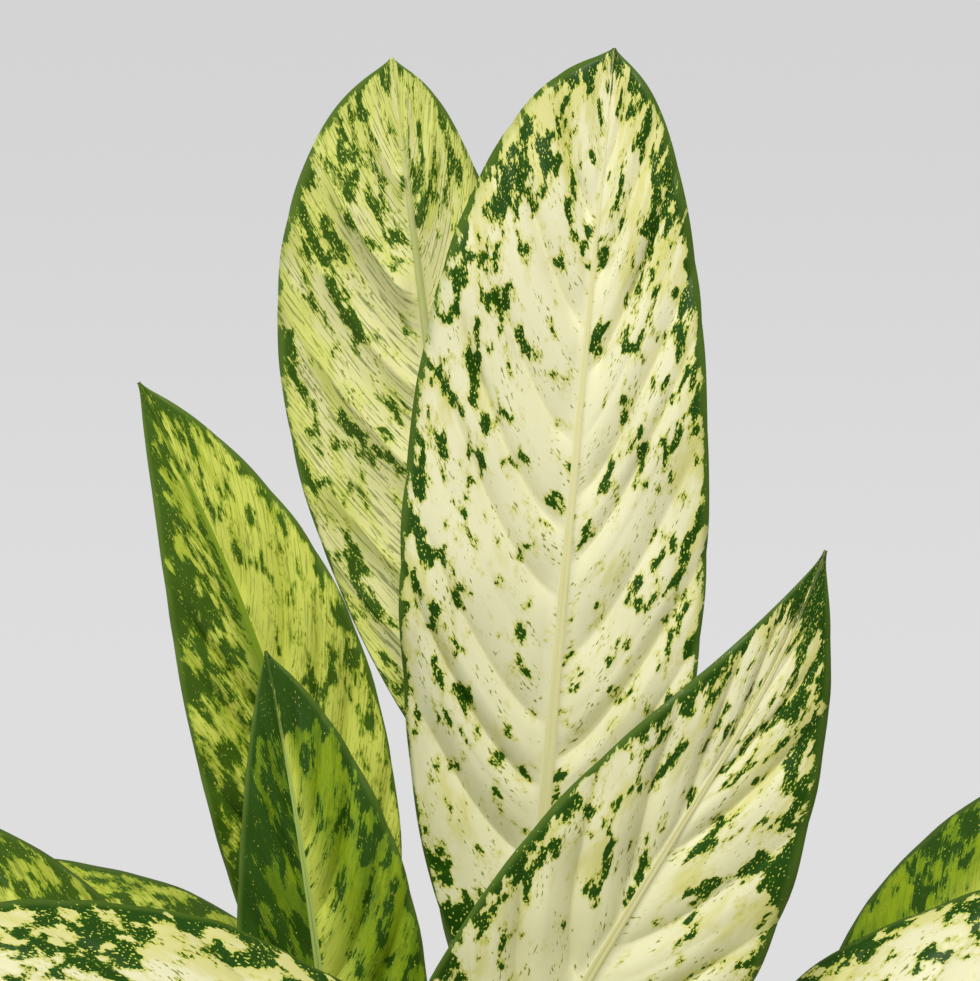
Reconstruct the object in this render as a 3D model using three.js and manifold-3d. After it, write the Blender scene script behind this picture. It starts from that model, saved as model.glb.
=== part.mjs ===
// A potted dieffenbachia: a plain round pot, its potting soil, four leafy stems, and the
// variegated blades that the stems carry. Millimetres, +Z up. The origin is the middle of the
// pot's flat underside. Seen from the front (looking along +Y), +X is to the right.
import * as THREE from "three";
import { mergeVertices } from "three/addons/utils/BufferGeometryUtils.js";
import Module from "manifold-3d";

const wasm = await Module();
wasm.setup();

// ---- driving dimensions ----------------------------------------------------------------------
const GAP = 0.3; // between pieces that touch
const SLOPE_STEP = 0.003; // step along a blade, as a share of it, over which its slope is taken

const POT = {
  height: 150,
  rimRadius: 86,
  footRadius: 64,
  wall: 6,
  floor: 9,
  cove: 6, // the bevel between the floor and the wall
  rimBand: 16, // height of the thicker collar
  rimBandOut: 2.5, // how far the collar stands out
  lip: 2.5, // rounding of the rim
  footRound: 7,
  sides: 36,
  drainHoles: 4,
  drainRadius: 4.5,
  drainCircle: 34,
  drainSides: 12,
};

const SOIL = {
  belowRim: 13, // from the rim down to the soil
  edgeDrop: 1.5, // the surface falls by this at the wall
  crumb: 1.8, // height of the lumps
  coarse: [0.11, 0.13], // how fast the broad and the small lumps follow each other, per mm,
  fine: [0.31, 0.29], // along X and Y
  coarseShare: 0.6,
  rings: 5,
};

const STEM = {
  depthInSoil: 42,
  straight: 30, // height above the soil over which a stem rises plumb
  radius: 9.5,
  topRadius: 7.5,
  sides: 12,
  steps: 7,
};

const STALK = {
  sides: 8,
  steps: 8,
  sheathShare: 0.45, // the lower share that clasps the stem
  sheath: [8, 5.2], // half-axes at the stem: across the leaf, and towards its upper side
  stalk: [4.3, 3.5],
  neck: [3.1, 2.6], // where the blade starts
  rise: 0.4, // how long the stalk follows the stem, and then the blade, before it bends
  lead: 0.35,
  steeper: 0.9, // how much steeper than the blade the stalk comes up to it
  turnFrom: 0.6, // from this share on, its sections turn to face the blade
  below: 1.6, // the stalk's middle lies this far below the blade's
};

const BLADE = {
  thickness: 0.9,
  rows: 11,
  rowBunching: 0.8, // 0 spaces the rows evenly, 1 draws them fully towards both ends
  across: [0.55, 1], // columns outside the midrib, as shares of the half-width
  ribHalf: 3.0, // half-width of the midrib at the base, and at the tip
  ribHalfTip: 0.5,
  ribDeep: 3.6, // how far the midrib stands out underneath
  ribDeepTip: 0.1,
  ribTaper: 0.65,
  ribShare: 0.95, // the most of the half-width that the midrib takes
  veinSweep: 0.31, // how far the side veins run forward on their way to the margin
  veinSweepFade: 0.85, // how that sweep dies out towards the tip
  veinSweepStart: 0.07, // and how fast it sets in above the base
  veinBend: 1.35,
  tipHalf: 0.5,
  tipPoint: 0.015, // the share of the length in which the very tip draws to a point
  hookFrom: 0.72, // where along the blade a hooked tip starts to turn
  waveShift: 2.1, // the right-hand margin's waves lag the left-hand ones by this angle
};

// The stems: where each leaves the soil, and its top.
const STEMS = {
  centre: { foot: [6, 2], top: [10, 0, 232] },
  left: { foot: [-30, -10], top: [-44, -14, 218] },
  right: { foot: [36, -6], top: [54, -4, 214] },
  back: { foot: [0, 38], top: [-6, 54, 226] },
};

// The leaves. node is the share of the stem's height at which the leaf stalk leaves it. base and
// tip are the ends of the blade's midrib. face is where the upper side looks: its turn from the
// front towards +X, and its height above the horizon, in degrees. bow lifts the middle of the
// midrib towards the upper side, sway moves it to the blade's right, hook does so for the tip.
// skew gives the left half more of the width, at the base and at the tip. fold is the V of the
// two halves, in degrees, and camber how far each half arches. The blade is widest at peak, and
// the powers say how fast it narrows from there to both ends. The margin has so many waves, of
// the height wave.
const USUAL = {
  skew: [0, 0], bow: 15, sway: 0, hook: 0, fold: 13, camber: 0.16,
  peak: 0.46, basePower: 0.45, tipPower: 0.75, wave: 1.3, waves: 3,
};

const LEAVES = [
  {
    name: "tall_front", stem: "centre", node: 0.9, base: [4, 2, 324], tip: [27, 16, 579],
    face: [-6, 4], width: 86, skew: [-0.04, 0.22], bow: 5, fold: 15, peak: 0.48,
    basePower: 0.4, tipPower: 0.57, wave: 1.6,
  },
  {
    name: "tall_back", stem: "back", node: 0.85, base: [-8, 42, 366], tip: [-34, 48, 576],
    face: [176, -3], width: 69, skew: [-0.22, -0.25], bow: 2, fold: 10, camber: 0.12, peak: 0.6,
    basePower: 0.95, tipPower: 0.66, wave: 1.4,
  },
  {
    name: "left_upright", stem: "left", node: 0.92, base: [-44, 2, 308], tip: [-101, -10, 490],
    face: [8, 8], width: 56, skew: [0.2, -0.25], bow: 6, sway: 8, fold: 22, camber: 0.2,
    basePower: 0.55, tipPower: 1.0, wave: 0.8,
  },
  {
    name: "left_young", stem: "left", node: 0.7, base: [-46, -28, 262], tip: [-66, -40, 421],
    face: [8, 8], width: 56, skew: [0, -0.25], bow: 6, sway: 2, fold: 26, camber: 0.24,
    peak: 0.4, basePower: 0.5, tipPower: 0.95, wave: 0.6,
  },
  {
    name: "front_right", stem: "centre", node: 0.75, base: [-20, -42, 266], tip: [81, -54, 449],
    face: [14, 14], width: 79, skew: [0.05, -0.13], bow: 6, sway: -3, hook: -7, fold: 18,
    camber: 0.18, peak: 0.37, tipPower: 1.2, wave: 1.0,
  },
  {
    name: "left_front", stem: "left", node: 0.35, base: [-26, -86, 314], tip: [-205, -158, 332],
    face: [-10, 42], width: 88, bow: 14, fold: 12, tipPower: 0.7, wave: 1.5,
  },
  {
    name: "left_spreading", stem: "left", node: 0.8, base: [-78, 4, 268], tip: [-195, 6, 376],
    face: [40, 45], width: 74, bow: 12, fold: 14, basePower: 0.5,
  },
  {
    name: "left_back", stem: "back", node: 0.7, base: [-56, 62, 298], tip: [-215, 110, 320],
    face: [0, 60], width: 76, bow: 16, fold: 12, basePower: 0.5,
  },
  {
    name: "right_spreading", stem: "right", node: 0.9, base: [90, 26, 268], tip: [168, 40, 382],
    face: [-40, 40], width: 74, bow: 10, fold: 14, basePower: 0.5, wave: 1.0,
  },
  {
    name: "right_front", stem: "right", node: 0.75, base: [62, -40, 306], tip: [235, -70, 334],
    face: [-10, 45], width: 84, bow: 14, fold: 12, tipPower: 0.7, wave: 1.4,
  },
  {
    name: "back_upright", stem: "back", node: 0.95, base: [4, 72, 296], tip: [14, 128, 452],
    face: [4, 26], width: 66, bow: -6, fold: 16, basePower: 0.5,
  },
  {
    name: "mid_front", stem: "centre", node: 0.62, base: [24, -74, 262], tip: [72, -246, 284],
    face: [14, 66], width: 84, wave: 1.4,
  },
  {
    name: "mid_front_left", stem: "centre", node: 0.7, base: [-30, -78, 250],
    tip: [-96, -236, 268], face: [-22, 66], width: 84,
  },
  {
    name: "mid_front_right", stem: "right", node: 0.62, base: [76, -58, 262],
    tip: [212, -152, 290], face: [54, 66], width: 84, wave: 1.4,
  },
  {
    name: "mid_right_back", stem: "right", node: 0.65, base: [70, 52, 250], tip: [214, 132, 288],
    face: [120, 66], width: 80, basePower: 0.5, wave: 1.4,
  },
  {
    name: "mid_back", stem: "back", node: 0.72, base: [2, 104, 262], tip: [4, 256, 270],
    face: [-178, 66], width: 84,
  },
  {
    name: "mid_back_left", stem: "back", node: 0.64, base: [-46, 96, 258],
    tip: [-148, 220, 280], face: [-146, 66], width: 82, wave: 1.4,
  },
  {
    name: "mid_back_right", stem: "back", node: 0.66, base: [44, 92, 250], tip: [136, 214, 274],
    face: [144, 66], width: 82,
  },
  {
    name: "low_front", stem: "centre", node: 0.5, base: [12, -72, 224], tip: [40, -260, 202],
    face: [8, 76], width: 86, bow: 20, wave: 1.4,
  },
  {
    name: "low_front_left", stem: "left", node: 0.45, base: [-60, -66, 218],
    tip: [-150, -226, 190], face: [-30, 76], width: 84, bow: 20,
  },
  {
    name: "low_front_right", stem: "right", node: 0.5, base: [76, -60, 222],
    tip: [196, -202, 200], face: [40, 76], width: 86, bow: 20,
  },
  {
    name: "low_left_front", stem: "left", node: 0.5, base: [-84, -26, 236],
    tip: [-262, -92, 222], face: [-70, 76], width: 82, bow: 18,
  },
  {
    name: "low_left", stem: "left", node: 0.4, base: [-88, 26, 212], tip: [-264, 66, 186],
    face: [-104, 76], width: 84, bow: 18,
  },
  {
    name: "low_left_back", stem: "back", node: 0.52, base: [-72, 74, 236],
    tip: [-206, 190, 222], face: [-132, 76], width: 82, bow: 18,
  },
  {
    name: "low_right", stem: "right", node: 0.55, base: [96, 16, 220], tip: [274, 52, 196],
    face: [102, 76], width: 84, bow: 18,
  },
  {
    name: "low_right_back", stem: "right", node: 0.42, base: [80, 58, 208],
    tip: [206, 180, 186], face: [130, 76], width: 82, bow: 18,
  },
  {
    name: "low_back_left", stem: "back", node: 0.42, base: [-34, 106, 216],
    tip: [-104, 274, 192], face: [-158, 76], width: 84, bow: 20, wave: 1.4,
  },
  {
    name: "low_back_right", stem: "back", node: 0.48, base: [40, 104, 222],
    tip: [122, 262, 200], face: [152, 76], width: 84, bow: 20, wave: 1.4,
  },
].map((leaf) => ({ ...USUAL, ...leaf }));

// ---- small helpers ---------------------------------------------------------------------------
const radians = THREE.MathUtils.degToRad;
const vector = (p) => new THREE.Vector3(...p);

function direction(turn, height) {
  const [a, e] = [radians(turn), radians(height)];
  return new THREE.Vector3(Math.sin(a) * Math.cos(e), -Math.cos(a) * Math.cos(e), Math.sin(e));
}

// A solid for manifold-3d from a closed geometry.
function solidFrom(geometry) {
  const bare = new THREE.BufferGeometry();
  bare.setAttribute("position", geometry.getAttribute("position"));
  bare.setIndex(geometry.getIndex());
  const merged = mergeVertices(bare, 1e-4);
  return new wasm.Manifold(new wasm.Mesh({
    numProp: 3,
    vertProperties: new Float32Array(merged.getAttribute("position").array),
    triVerts: new Uint32Array(merged.getIndex().array),
  }));
}

function geometryFrom(solid) {
  const made = solid.getMesh();
  const geometry = new THREE.BufferGeometry();
  geometry.setAttribute("position", new THREE.BufferAttribute(made.vertProperties, made.numProp));
  geometry.setIndex(new THREE.BufferAttribute(made.triVerts, 1));
  geometry.computeVertexNormals();
  return geometry;
}

// A closed tube through rings of points, with both ends capped.
function tubeThrough(rings) {
  const sides = rings[0].length;
  const points = rings.flat();
  const faces = [];
  for (let r = 0; r + 1 < rings.length; r += 1) {
    for (let s = 0; s < sides; s += 1) {
      const [a, b] = [r * sides + s, r * sides + ((s + 1) % sides)];
      faces.push(a, b, b + sides, a, b + sides, a + sides);
    }
  }
  for (let s = 1; s + 1 < sides; s += 1) {
    const last = (rings.length - 1) * sides;
    faces.push(0, s + 1, s, last, last + s, last + s + 1);
  }
  const geometry = new THREE.BufferGeometry().setFromPoints(points);
  geometry.setIndex(faces);
  return geometry;
}

// ---- the blade's surface ---------------------------------------------------------------------
// The midrib is an arc from base to tip; at() gives its point and its three directions.
function midribOf(leaf) {
  const [base, tip] = [vector(leaf.base), vector(leaf.tip)];
  const chord = tip.clone().sub(base).normalize();
  const up = direction(...leaf.face);
  up.addScaledVector(chord, -up.dot(chord)).normalize();
  const side = chord.clone().cross(up);
  tip.addScaledVector(side, -leaf.hook);
  const middle = base.clone().add(tip).multiplyScalar(0.5);
  middle.addScaledVector(up, 2 * leaf.bow).addScaledVector(side, 2 * leaf.sway);
  const curve = new THREE.QuadraticBezierCurve3(base, middle, tip);
  const hooked = (t) => leaf.hook * (Math.max(0, t - BLADE.hookFrom) / (1 - BLADE.hookFrom)) ** 2;
  const pointAt = (t) => curve.getPoint(t).addScaledVector(side, hooked(t));
  const at = (t) => {
    const ahead = pointAt(Math.min(1, t + SLOPE_STEP));
    const along = ahead.sub(pointAt(Math.max(0, t - SLOPE_STEP))).normalize();
    const normal = direction(...leaf.face);
    normal.addScaledVector(along, -normal.dot(along)).normalize();
    return { point: pointAt(t), along, normal, side: along.clone().cross(normal) };
  };
  return { at };
}

// Half the midrib's width, and how far it stands out below, at t.
const ribTaper = (from, to, t) => THREE.MathUtils.lerp(from, to, t ** BLADE.ribTaper);
const ribHalf = (t) => ribTaper(BLADE.ribHalf, BLADE.ribHalfTip, t);
const ribDeep = (t) => ribTaper(BLADE.ribDeep, BLADE.ribDeepTip, t);

// The blade's half-width at t, on its right (which 1) or left (which -1).
function halfWidth(leaf, t, which) {
  const x = t < leaf.peak ? (leaf.peak - t) / leaf.peak : (t - leaf.peak) / (1 - leaf.peak);
  const power = t < leaf.peak ? leaf.basePower : leaf.tipPower;
  const point = 1 - Math.exp(-(1 - t) / BLADE.tipPoint);
  const share = Math.max(0, 1 - x * x) ** power * point;
  const even = 1 - which * THREE.MathUtils.lerp(...leaf.skew, t);
  const end = THREE.MathUtils.lerp(BLADE.ribHalf, BLADE.tipHalf, t);
  return end + ((leaf.width / 2) * even - end) * share;
}

// A point of the blade's middle surface: t along the midrib, out across it in mm, signed.
function bladePoint(leaf, midrib, t, out) {
  const { point, normal, side } = midrib.at(t);
  const half = halfWidth(leaf, t, Math.sign(out));
  const share = Math.abs(out) / half;
  const fold = radians(leaf.fold);
  const ripple = Math.sin(2 * Math.PI * leaf.waves * t + (out > 0 ? BLADE.waveShift : 0));
  const wave = leaf.wave * ripple * share ** 2 * Math.sqrt(Math.sin(Math.PI * t));
  const lift = Math.abs(out) * Math.sin(fold) - leaf.camber * half * share ** 2 + wave;
  return point.addScaledVector(side, out * Math.cos(fold)).addScaledVector(normal, lift);
}

function bladeNormal(leaf, midrib, t, out) {
  const [behind, ahead] = [Math.max(0, t - SLOPE_STEP), Math.min(1, t + SLOPE_STEP)];
  const along = bladePoint(leaf, midrib, ahead, out).sub(bladePoint(leaf, midrib, behind, out));
  const rightwards = bladePoint(leaf, midrib, t, out + BLADE.thickness / 2);
  const across = rightwards.sub(bladePoint(leaf, midrib, t, out - BLADE.thickness / 2));
  return across.cross(along).normalize();
}

// Rows follow the side veins: from q on the midrib forward to marginAt(q) on the margin.
function marginAt(q) {
  const setIn = 1 - Math.exp(-q / BLADE.veinSweepStart);
  return q + BLADE.veinSweep * (1 - q) ** BLADE.veinSweepFade * setIn;
}

function bladeColumns() {
  const outside = [0, ...BLADE.across];
  const left = [...outside].reverse().map((share) => [-1, share]);
  return [...left, [0, 0], ...outside.map((share) => [1, share])];
}

function bladeGeometry(leaf) {
  const midrib = midribOf(leaf);
  const columns = bladeColumns();
  const [upper, lower] = [[], []];
  for (let row = 0; row <= BLADE.rows; row += 1) {
    const even = row / BLADE.rows;
    const q = THREE.MathUtils.lerp(even, (1 - Math.cos(Math.PI * even)) / 2, BLADE.rowBunching);
    const end = marginAt(q);
    for (const [which, share] of columns) {
      const reach = halfWidth(leaf, end, which);
      const rib = Math.min(ribHalf(q), reach * BLADE.ribShare);
      const out = which * (rib + (reach - rib) * share);
      const t = q + (end - q) * (Math.abs(out) / reach) ** BLADE.veinBend;
      const middle = bladePoint(leaf, midrib, t, out);
      const normal = bladeNormal(leaf, midrib, t, out);
      const deep = BLADE.thickness / 2 + (which === 0 ? ribDeep(t) : 0);
      upper.push(middle.clone().addScaledVector(normal, BLADE.thickness / 2));
      lower.push(middle.addScaledVector(normal, -deep));
    }
  }
  return sheetBetween(upper, lower, columns.length);
}

// A thin closed solid between two grids of points, split into triangles alike on both faces.
function sheetBetween(upper, lower, wide) {
  const count = upper.length;
  const rows = count / wide;
  const faces = [];
  const quad = (a, b, c, d) => faces.push(a, b, c, a, c, d);
  for (let r = 0; r + 1 < rows; r += 1) {
    for (let c = 0; c + 1 < wide; c += 1) {
      const [a, b] = [r * wide + c, r * wide + c + 1];
      quad(a, b, b + wide, a + wide);
      faces.push(count + a, count + b + wide, count + b);
      faces.push(count + a, count + a + wide, count + b + wide);
    }
    const [left, right] = [r * wide, r * wide + wide - 1];
    quad(left, left + wide, count + left + wide, count + left);
    quad(right, count + right, count + right + wide, right + wide);
  }
  for (let c = 0; c + 1 < wide; c += 1) {
    const last = (rows - 1) * wide + c;
    quad(c, count + c, count + c + 1, c + 1);
    quad(last, last + 1, count + last + 1, count + last);
  }
  const geometry = new THREE.BufferGeometry().setFromPoints([...upper, ...lower]);
  geometry.setIndex(faces);
  geometry.computeVertexNormals();
  return geometry;
}

// ---- the leafy stems -------------------------------------------------------------------------
function stemCurve(stem) {
  const soilTop = POT.height - SOIL.belowRim;
  const foot = new THREE.Vector3(...stem.foot, soilTop - STEM.depthInSoil);
  const level = new THREE.Vector3(...stem.foot, soilTop + STEM.straight);
  return new THREE.QuadraticBezierCurve3(foot, level, vector(stem.top));
}

// Rings of an ellipse along a curve. size(t) gives its half-axes across and towards normal.
function ringsAlong(pointAt, steps, sides, size, normalAt) {
  const rings = [];
  for (let i = 0; i <= steps; i += 1) {
    const t = i / steps;
    const { point, along } = pointAt(t);
    const up = normalAt(t).clone();
    up.addScaledVector(along, -up.dot(along)).normalize();
    const across = along.clone().cross(up);
    const [wide, deep] = size(t);
    const ring = [];
    for (let s = 0; s < sides; s += 1) {
      const a = (2 * Math.PI * s) / sides;
      const on = point.clone().addScaledVector(across, -wide * Math.cos(a));
      ring.push(on.addScaledVector(up, deep * Math.sin(a)));
    }
    rings.push(ring);
  }
  return rings;
}

function caneGeometry(stem, extra = 0) {
  const curve = stemCurve(stem);
  const pointAt = (t) => ({ point: curve.getPoint(t), along: curve.getTangent(t) });
  const size = (t) => Array(2).fill(THREE.MathUtils.lerp(STEM.radius, STEM.topRadius, t) + extra);
  const back = new THREE.Vector3(0, 1, 0);
  return tubeThrough(ringsAlong(pointAt, STEM.steps, STEM.sides, size, () => back));
}

// A leaf stalk: a wide sheath at the stem that narrows to the neck under the blade's base.
function stalkGeometry(leaf, stem) {
  const cane = stemCurve(stem);
  const start = cane.getPoint(leaf.node);
  const rise = cane.getTangent(leaf.node);
  const blade = midribOf(leaf).at(0);
  const end = blade.point.clone().addScaledVector(blade.along, -GAP);
  end.addScaledVector(blade.normal, -STALK.below);
  const reach = start.distanceTo(end);
  const into = blade.along.clone().add(new THREE.Vector3(0, 0, STALK.steeper)).normalize();
  const curve = new THREE.CubicBezierCurve3(
    start,
    start.clone().addScaledVector(rise, reach * STALK.rise),
    end.clone().addScaledVector(into, -reach * STALK.lead),
    end,
  );
  const size = (t) => [0, 1].map((axis) => {
    const { sheathShare, sheath, stalk, neck } = STALK;
    if (t < sheathShare) return THREE.MathUtils.lerp(sheath[axis], stalk[axis], t / sheathShare);
    return THREE.MathUtils.mapLinear(t, sheathShare, 1, stalk[axis], neck[axis]);
  });
  const pointAt = (t) => {
    const turned = THREE.MathUtils.smoothstep(t, STALK.turnFrom, 1);
    const along = curve.getTangent(t).lerp(blade.along, turned).normalize();
    return { point: curve.getPoint(t), along };
  };
  return tubeThrough(ringsAlong(pointAt, STALK.steps, STALK.sides, size, () => blade.normal));
}

function stemSolid(name) {
  const stem = STEMS[name];
  let solid = solidFrom(caneGeometry(stem));
  for (const leaf of LEAVES.filter((one) => one.stem === name)) {
    solid = solid.add(solidFrom(stalkGeometry(leaf, stem)));
  }
  return solid;
}

// ---- pot and soil ----------------------------------------------------------------------------
const potOuter = (z) => THREE.MathUtils.lerp(POT.footRadius, POT.rimRadius, z / POT.height);
const potInner = (z) => potOuter(z) - POT.wall;

function potGeometry() {
  const { height, rimRadius, footRadius, rimBand, rimBandOut, lip, footRound, floor, cove } = POT;
  const arc = (cx, cz, r, from, to, steps) =>
    Array.from({ length: steps + 1 }, (_, i) => {
      const a = radians(THREE.MathUtils.lerp(from, to, i / steps));
      return new THREE.Vector2(cx + r * Math.cos(a), cz + r * Math.sin(a));
    });
  const lean = THREE.MathUtils.radToDeg(Math.atan2(rimRadius - footRadius, height));
  const rimOut = potOuter(height) + rimBandOut;
  const bandFoot = height - rimBand;
  const profile = [
    new THREE.Vector2(0, 0),
    ...arc(potOuter(footRound) - footRound, footRound, footRound, -90, -lean, 3),
    new THREE.Vector2(potOuter(bandFoot - rimBandOut), bandFoot - rimBandOut),
    new THREE.Vector2(potOuter(bandFoot) + rimBandOut, bandFoot),
    ...arc(rimOut - lip, height - lip, lip, 0, 90, 2),
    ...arc(potInner(height) + lip, height - lip, lip, 90, 180, 2),
    new THREE.Vector2(potInner(floor + cove), floor + cove),
    new THREE.Vector2(potInner(floor) - cove, floor),
    new THREE.Vector2(0, floor),
  ];
  return new THREE.LatheGeometry(profile, POT.sides).rotateX(Math.PI / 2);
}

function potSolid() {
  let solid = solidFrom(potGeometry());
  for (let i = 0; i < POT.drainHoles; i += 1) {
    const a = (2 * Math.PI * (i + 0.5)) / POT.drainHoles;
    const { drainRadius, floor, drainSides } = POT;
    const hole = new THREE.CylinderGeometry(drainRadius, drainRadius, floor * 3, drainSides);
    hole.rotateX(Math.PI / 2);
    hole.translate(POT.drainCircle * Math.cos(a), POT.drainCircle * Math.sin(a), floor / 2);
    solid = solid.subtract(solidFrom(hole));
  }
  return solid;
}

// The height of the soil's lumps at a point of its surface.
function crumbAt(x, y) {
  const coarse = Math.sin(x * SOIL.coarse[0]) * Math.cos(y * SOIL.coarse[1]);
  const fine = Math.sin(x * SOIL.fine[0]) * Math.sin(y * SOIL.fine[1]);
  return SOIL.crumb * THREE.MathUtils.lerp(fine, coarse, SOIL.coarseShare);
}

function soilGeometry() {
  const top = POT.height - SOIL.belowRim;
  const foot = POT.floor + GAP;
  const ring = (radius, height) =>
    Array.from({ length: POT.sides }, (_, s) => {
      const a = (2 * Math.PI * s) / POT.sides;
      return new THREE.Vector3(radius * Math.cos(a), radius * Math.sin(a), height);
    });
  const rings = [
    ring(potInner(foot) - POT.cove - GAP, foot),
    ring(potInner(foot + POT.cove) - GAP, foot + POT.cove),
  ];
  for (let i = SOIL.rings; i >= 1; i -= 1) {
    const drop = i === SOIL.rings ? SOIL.edgeDrop : 0;
    const radius = ((potInner(top - SOIL.crumb - drop) - GAP) * i) / SOIL.rings;
    rings.push(ring(radius, top).map((p) => p.setZ(top - drop + crumbAt(p.x, p.y))));
  }
  return tubeThrough(rings);
}

function soilSolid() {
  let solid = solidFrom(soilGeometry());
  for (const stem of Object.values(STEMS)) {
    solid = solid.subtract(solidFrom(caneGeometry(stem, GAP)));
  }
  return solid;
}

// ---- the whole plant -------------------------------------------------------------------------
const MATERIALS = {
  pot: new THREE.MeshStandardMaterial({ color: "#e8e6e1", roughness: 0.6 }),
  soil: new THREE.MeshStandardMaterial({ color: "#3b2a1e", roughness: 0.95 }),
  stem: new THREE.MeshStandardMaterial({ color: "#9db56a", roughness: 0.5 }),
  blade: new THREE.MeshStandardMaterial({ color: "#d9dfa8", roughness: 0.4 }),
};

const plant = new THREE.Group();

function place(name, geometry, material) {
  const mesh = new THREE.Mesh(geometry, material);
  mesh.name = name;
  plant.add(mesh);
}

place("pot", geometryFrom(potSolid()), MATERIALS.pot);
place("potting_soil", geometryFrom(soilSolid()), MATERIALS.soil);
for (const name of Object.keys(STEMS)) {
  place(`stem_${name}`, geometryFrom(stemSolid(name)), MATERIALS.stem);
}
for (const leaf of LEAVES) {
  place(`leaf_${leaf.name}`, bladeGeometry(leaf), MATERIALS.blade);
}

export default plant;
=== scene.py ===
"""The looks of a potted dieffenbachia: variegated blades, leafy stems, potting soil and pot.

The packed model is the fixed frame. Sizes of the plant are in millimetres and are turned into
Blender's metres where a mesh is made. Seen from the front (looking along +Y), +X is to the right.
"""

import math
from types import SimpleNamespace

import bmesh
import bpy
import numpy as np
from bpy.props import FloatProperty, FloatVectorProperty, IntProperty, PointerProperty
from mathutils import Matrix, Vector


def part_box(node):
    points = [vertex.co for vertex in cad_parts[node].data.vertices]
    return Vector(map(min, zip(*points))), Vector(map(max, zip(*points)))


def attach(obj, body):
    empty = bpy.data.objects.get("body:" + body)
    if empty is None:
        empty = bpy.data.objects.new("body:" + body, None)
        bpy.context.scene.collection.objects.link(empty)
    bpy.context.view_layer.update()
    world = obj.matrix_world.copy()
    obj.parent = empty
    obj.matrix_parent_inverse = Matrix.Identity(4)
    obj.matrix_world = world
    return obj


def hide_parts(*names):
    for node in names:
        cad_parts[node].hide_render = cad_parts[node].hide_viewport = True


bl_info = {
    "name": "Potted dieffenbachia",
    "version": (1, 0, 0),
    "blender": (4, 5, 0),
    "location": "View3D > Sidebar > Dieffenbachia",
    "description": "Builds a variegated dieffenbachia in a plain pot",
    "category": "Add Mesh",
}

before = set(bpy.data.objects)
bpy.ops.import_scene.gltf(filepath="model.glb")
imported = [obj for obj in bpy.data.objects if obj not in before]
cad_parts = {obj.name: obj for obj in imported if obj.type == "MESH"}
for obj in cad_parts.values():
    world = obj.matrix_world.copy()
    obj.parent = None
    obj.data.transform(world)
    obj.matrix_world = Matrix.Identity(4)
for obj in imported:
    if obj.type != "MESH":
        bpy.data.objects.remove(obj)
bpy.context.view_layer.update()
MM = 0.001


def box_mm(node):
    """The lowest and highest corner of a node of the frame, in millimetres."""
    low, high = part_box(node)
    return np.array(low) / MM, np.array(high) / MM


# ---- sizes and places, many of them those of the frame's solids --------------------------------

POT_CORNER = box_mm("pot")[1]
BAND_OUT = 2.5
POT = SimpleNamespace(
    height=POT_CORNER[2], rim_radius=POT_CORNER[0] - BAND_OUT, foot_radius=64, wall=6, floor=9,
    cove=6, rim_band=16, rim_band_out=BAND_OUT, lip=2.5, foot_round=7, drain_holes=4,
    drain_radius=4.5, drain_circle=34, drain_sides=32, worn_foot=12, worn_rim=4, sharp_from=35,
)
# The soil's surface has the broad crumbs of the frame's soil and two sets of finer lumps, each
# given by how many waves it has, the shortest, the longest, and the height.
SOIL = SimpleNamespace(
    below_rim=13, edge_drop=1.5, drop_from=0.8, crumb=1.8, coarse=(0.11, 0.13),
    fine=(0.31, 0.29), coarse_share=0.6, lumps=((7, 7, 15, 0.35), (9, 2.4, 5, 0.3)),
    sides=168, rings=46, sharp_from=50, seed=5,
)
# A loose crumb: how much sizes vary, how far it is stretched at least and at most, how flat it
# lies, how rough it is, how high its middle is in shares of its size, and how far it stays off
# the wall.
CRUMB = SimpleNamespace(
    spread=0.4, stretch=(0.6, 1.5), flat=(1, 1, 0.6), rough=0.22, rise=0.1, off_wall=1)
STEM = SimpleNamespace(
    depth_in_soil=42, straight=30, radius=9.5, top_radius=7.5, sides=40, steps=110,
    hole_steps=30, sharp_from=38,
)
# The rings that old leaves left on a cane, in shares of its height but for ridge and dip.
SCAR = SimpleNamespace(
    first=0.36, step=0.085, uneven=0.012, ridge=0.55, ridge_wide=0.008, dip=0.25,
    dip_after=0.022, dip_wide=0.012,
)
STALK = SimpleNamespace(
    sheath_share=0.45, sheath=(8, 5.2), stalk=(4.3, 3.5), neck=(3.1, 2.6), rise=0.4, lead=0.35,
    steeper=0.9, turn_from=0.6, below=1.6, sides=28, steps=54,
    # The channel along the upper side, with a wing on either side of it near the cane.
    channel_wide=0.42, channel=(0.42, 0.16), channel_shallows=(0.2, 0.6), wing=0.08,
    wing_at=0.75, wing_wide=0.25, wing_ends=(0.3, 0.55),
    # StemUV begins so far beyond the canes on a stalk, and each stalk has its own stretch.
    map_start=400, map_each=97,
)
BLADE = SimpleNamespace(
    # The midrib: half its width, its depth below, their taper, and the grooves beside it.
    rib_half=3.0, rib_half_tip=0.5, rib_deep=3.6, rib_deep_tip=0.1, rib_taper=0.65,
    rib_share=0.95, groove_at=1.05, groove_wide=0.16, groove_deep=0.22,
    # The side veins: where the first one ends, and how they sweep forward and bend.
    vein_first=0.12, vein_sweep=1.9, vein_sweep_start=0.05, vein_bend=1.5, fewest_veins=8,
    # The outline: the half width left at the tip, the length in which the tip comes to a point,
    # where a hook starts, and how far the right margin's waves are from the left one's.
    tip_half=0.5, tip_point=0.015, hook_from=0.72, wave_shift=2.1, thin_from=0.80,
    # The mesh: how the rows bunch at the ends and at the veins, and the columns.
    fewest_rows=40, row_bunching=0.7, crease_bunching=0.72, least_slope=0.6, row_fade=0.04,
    rib_columns=(0.3, 0.6, 0.84, 0.96), column_power=0.94, slope_step=0.003, side_step=0.4,
    length_steps=60, seed=11,
)
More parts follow.
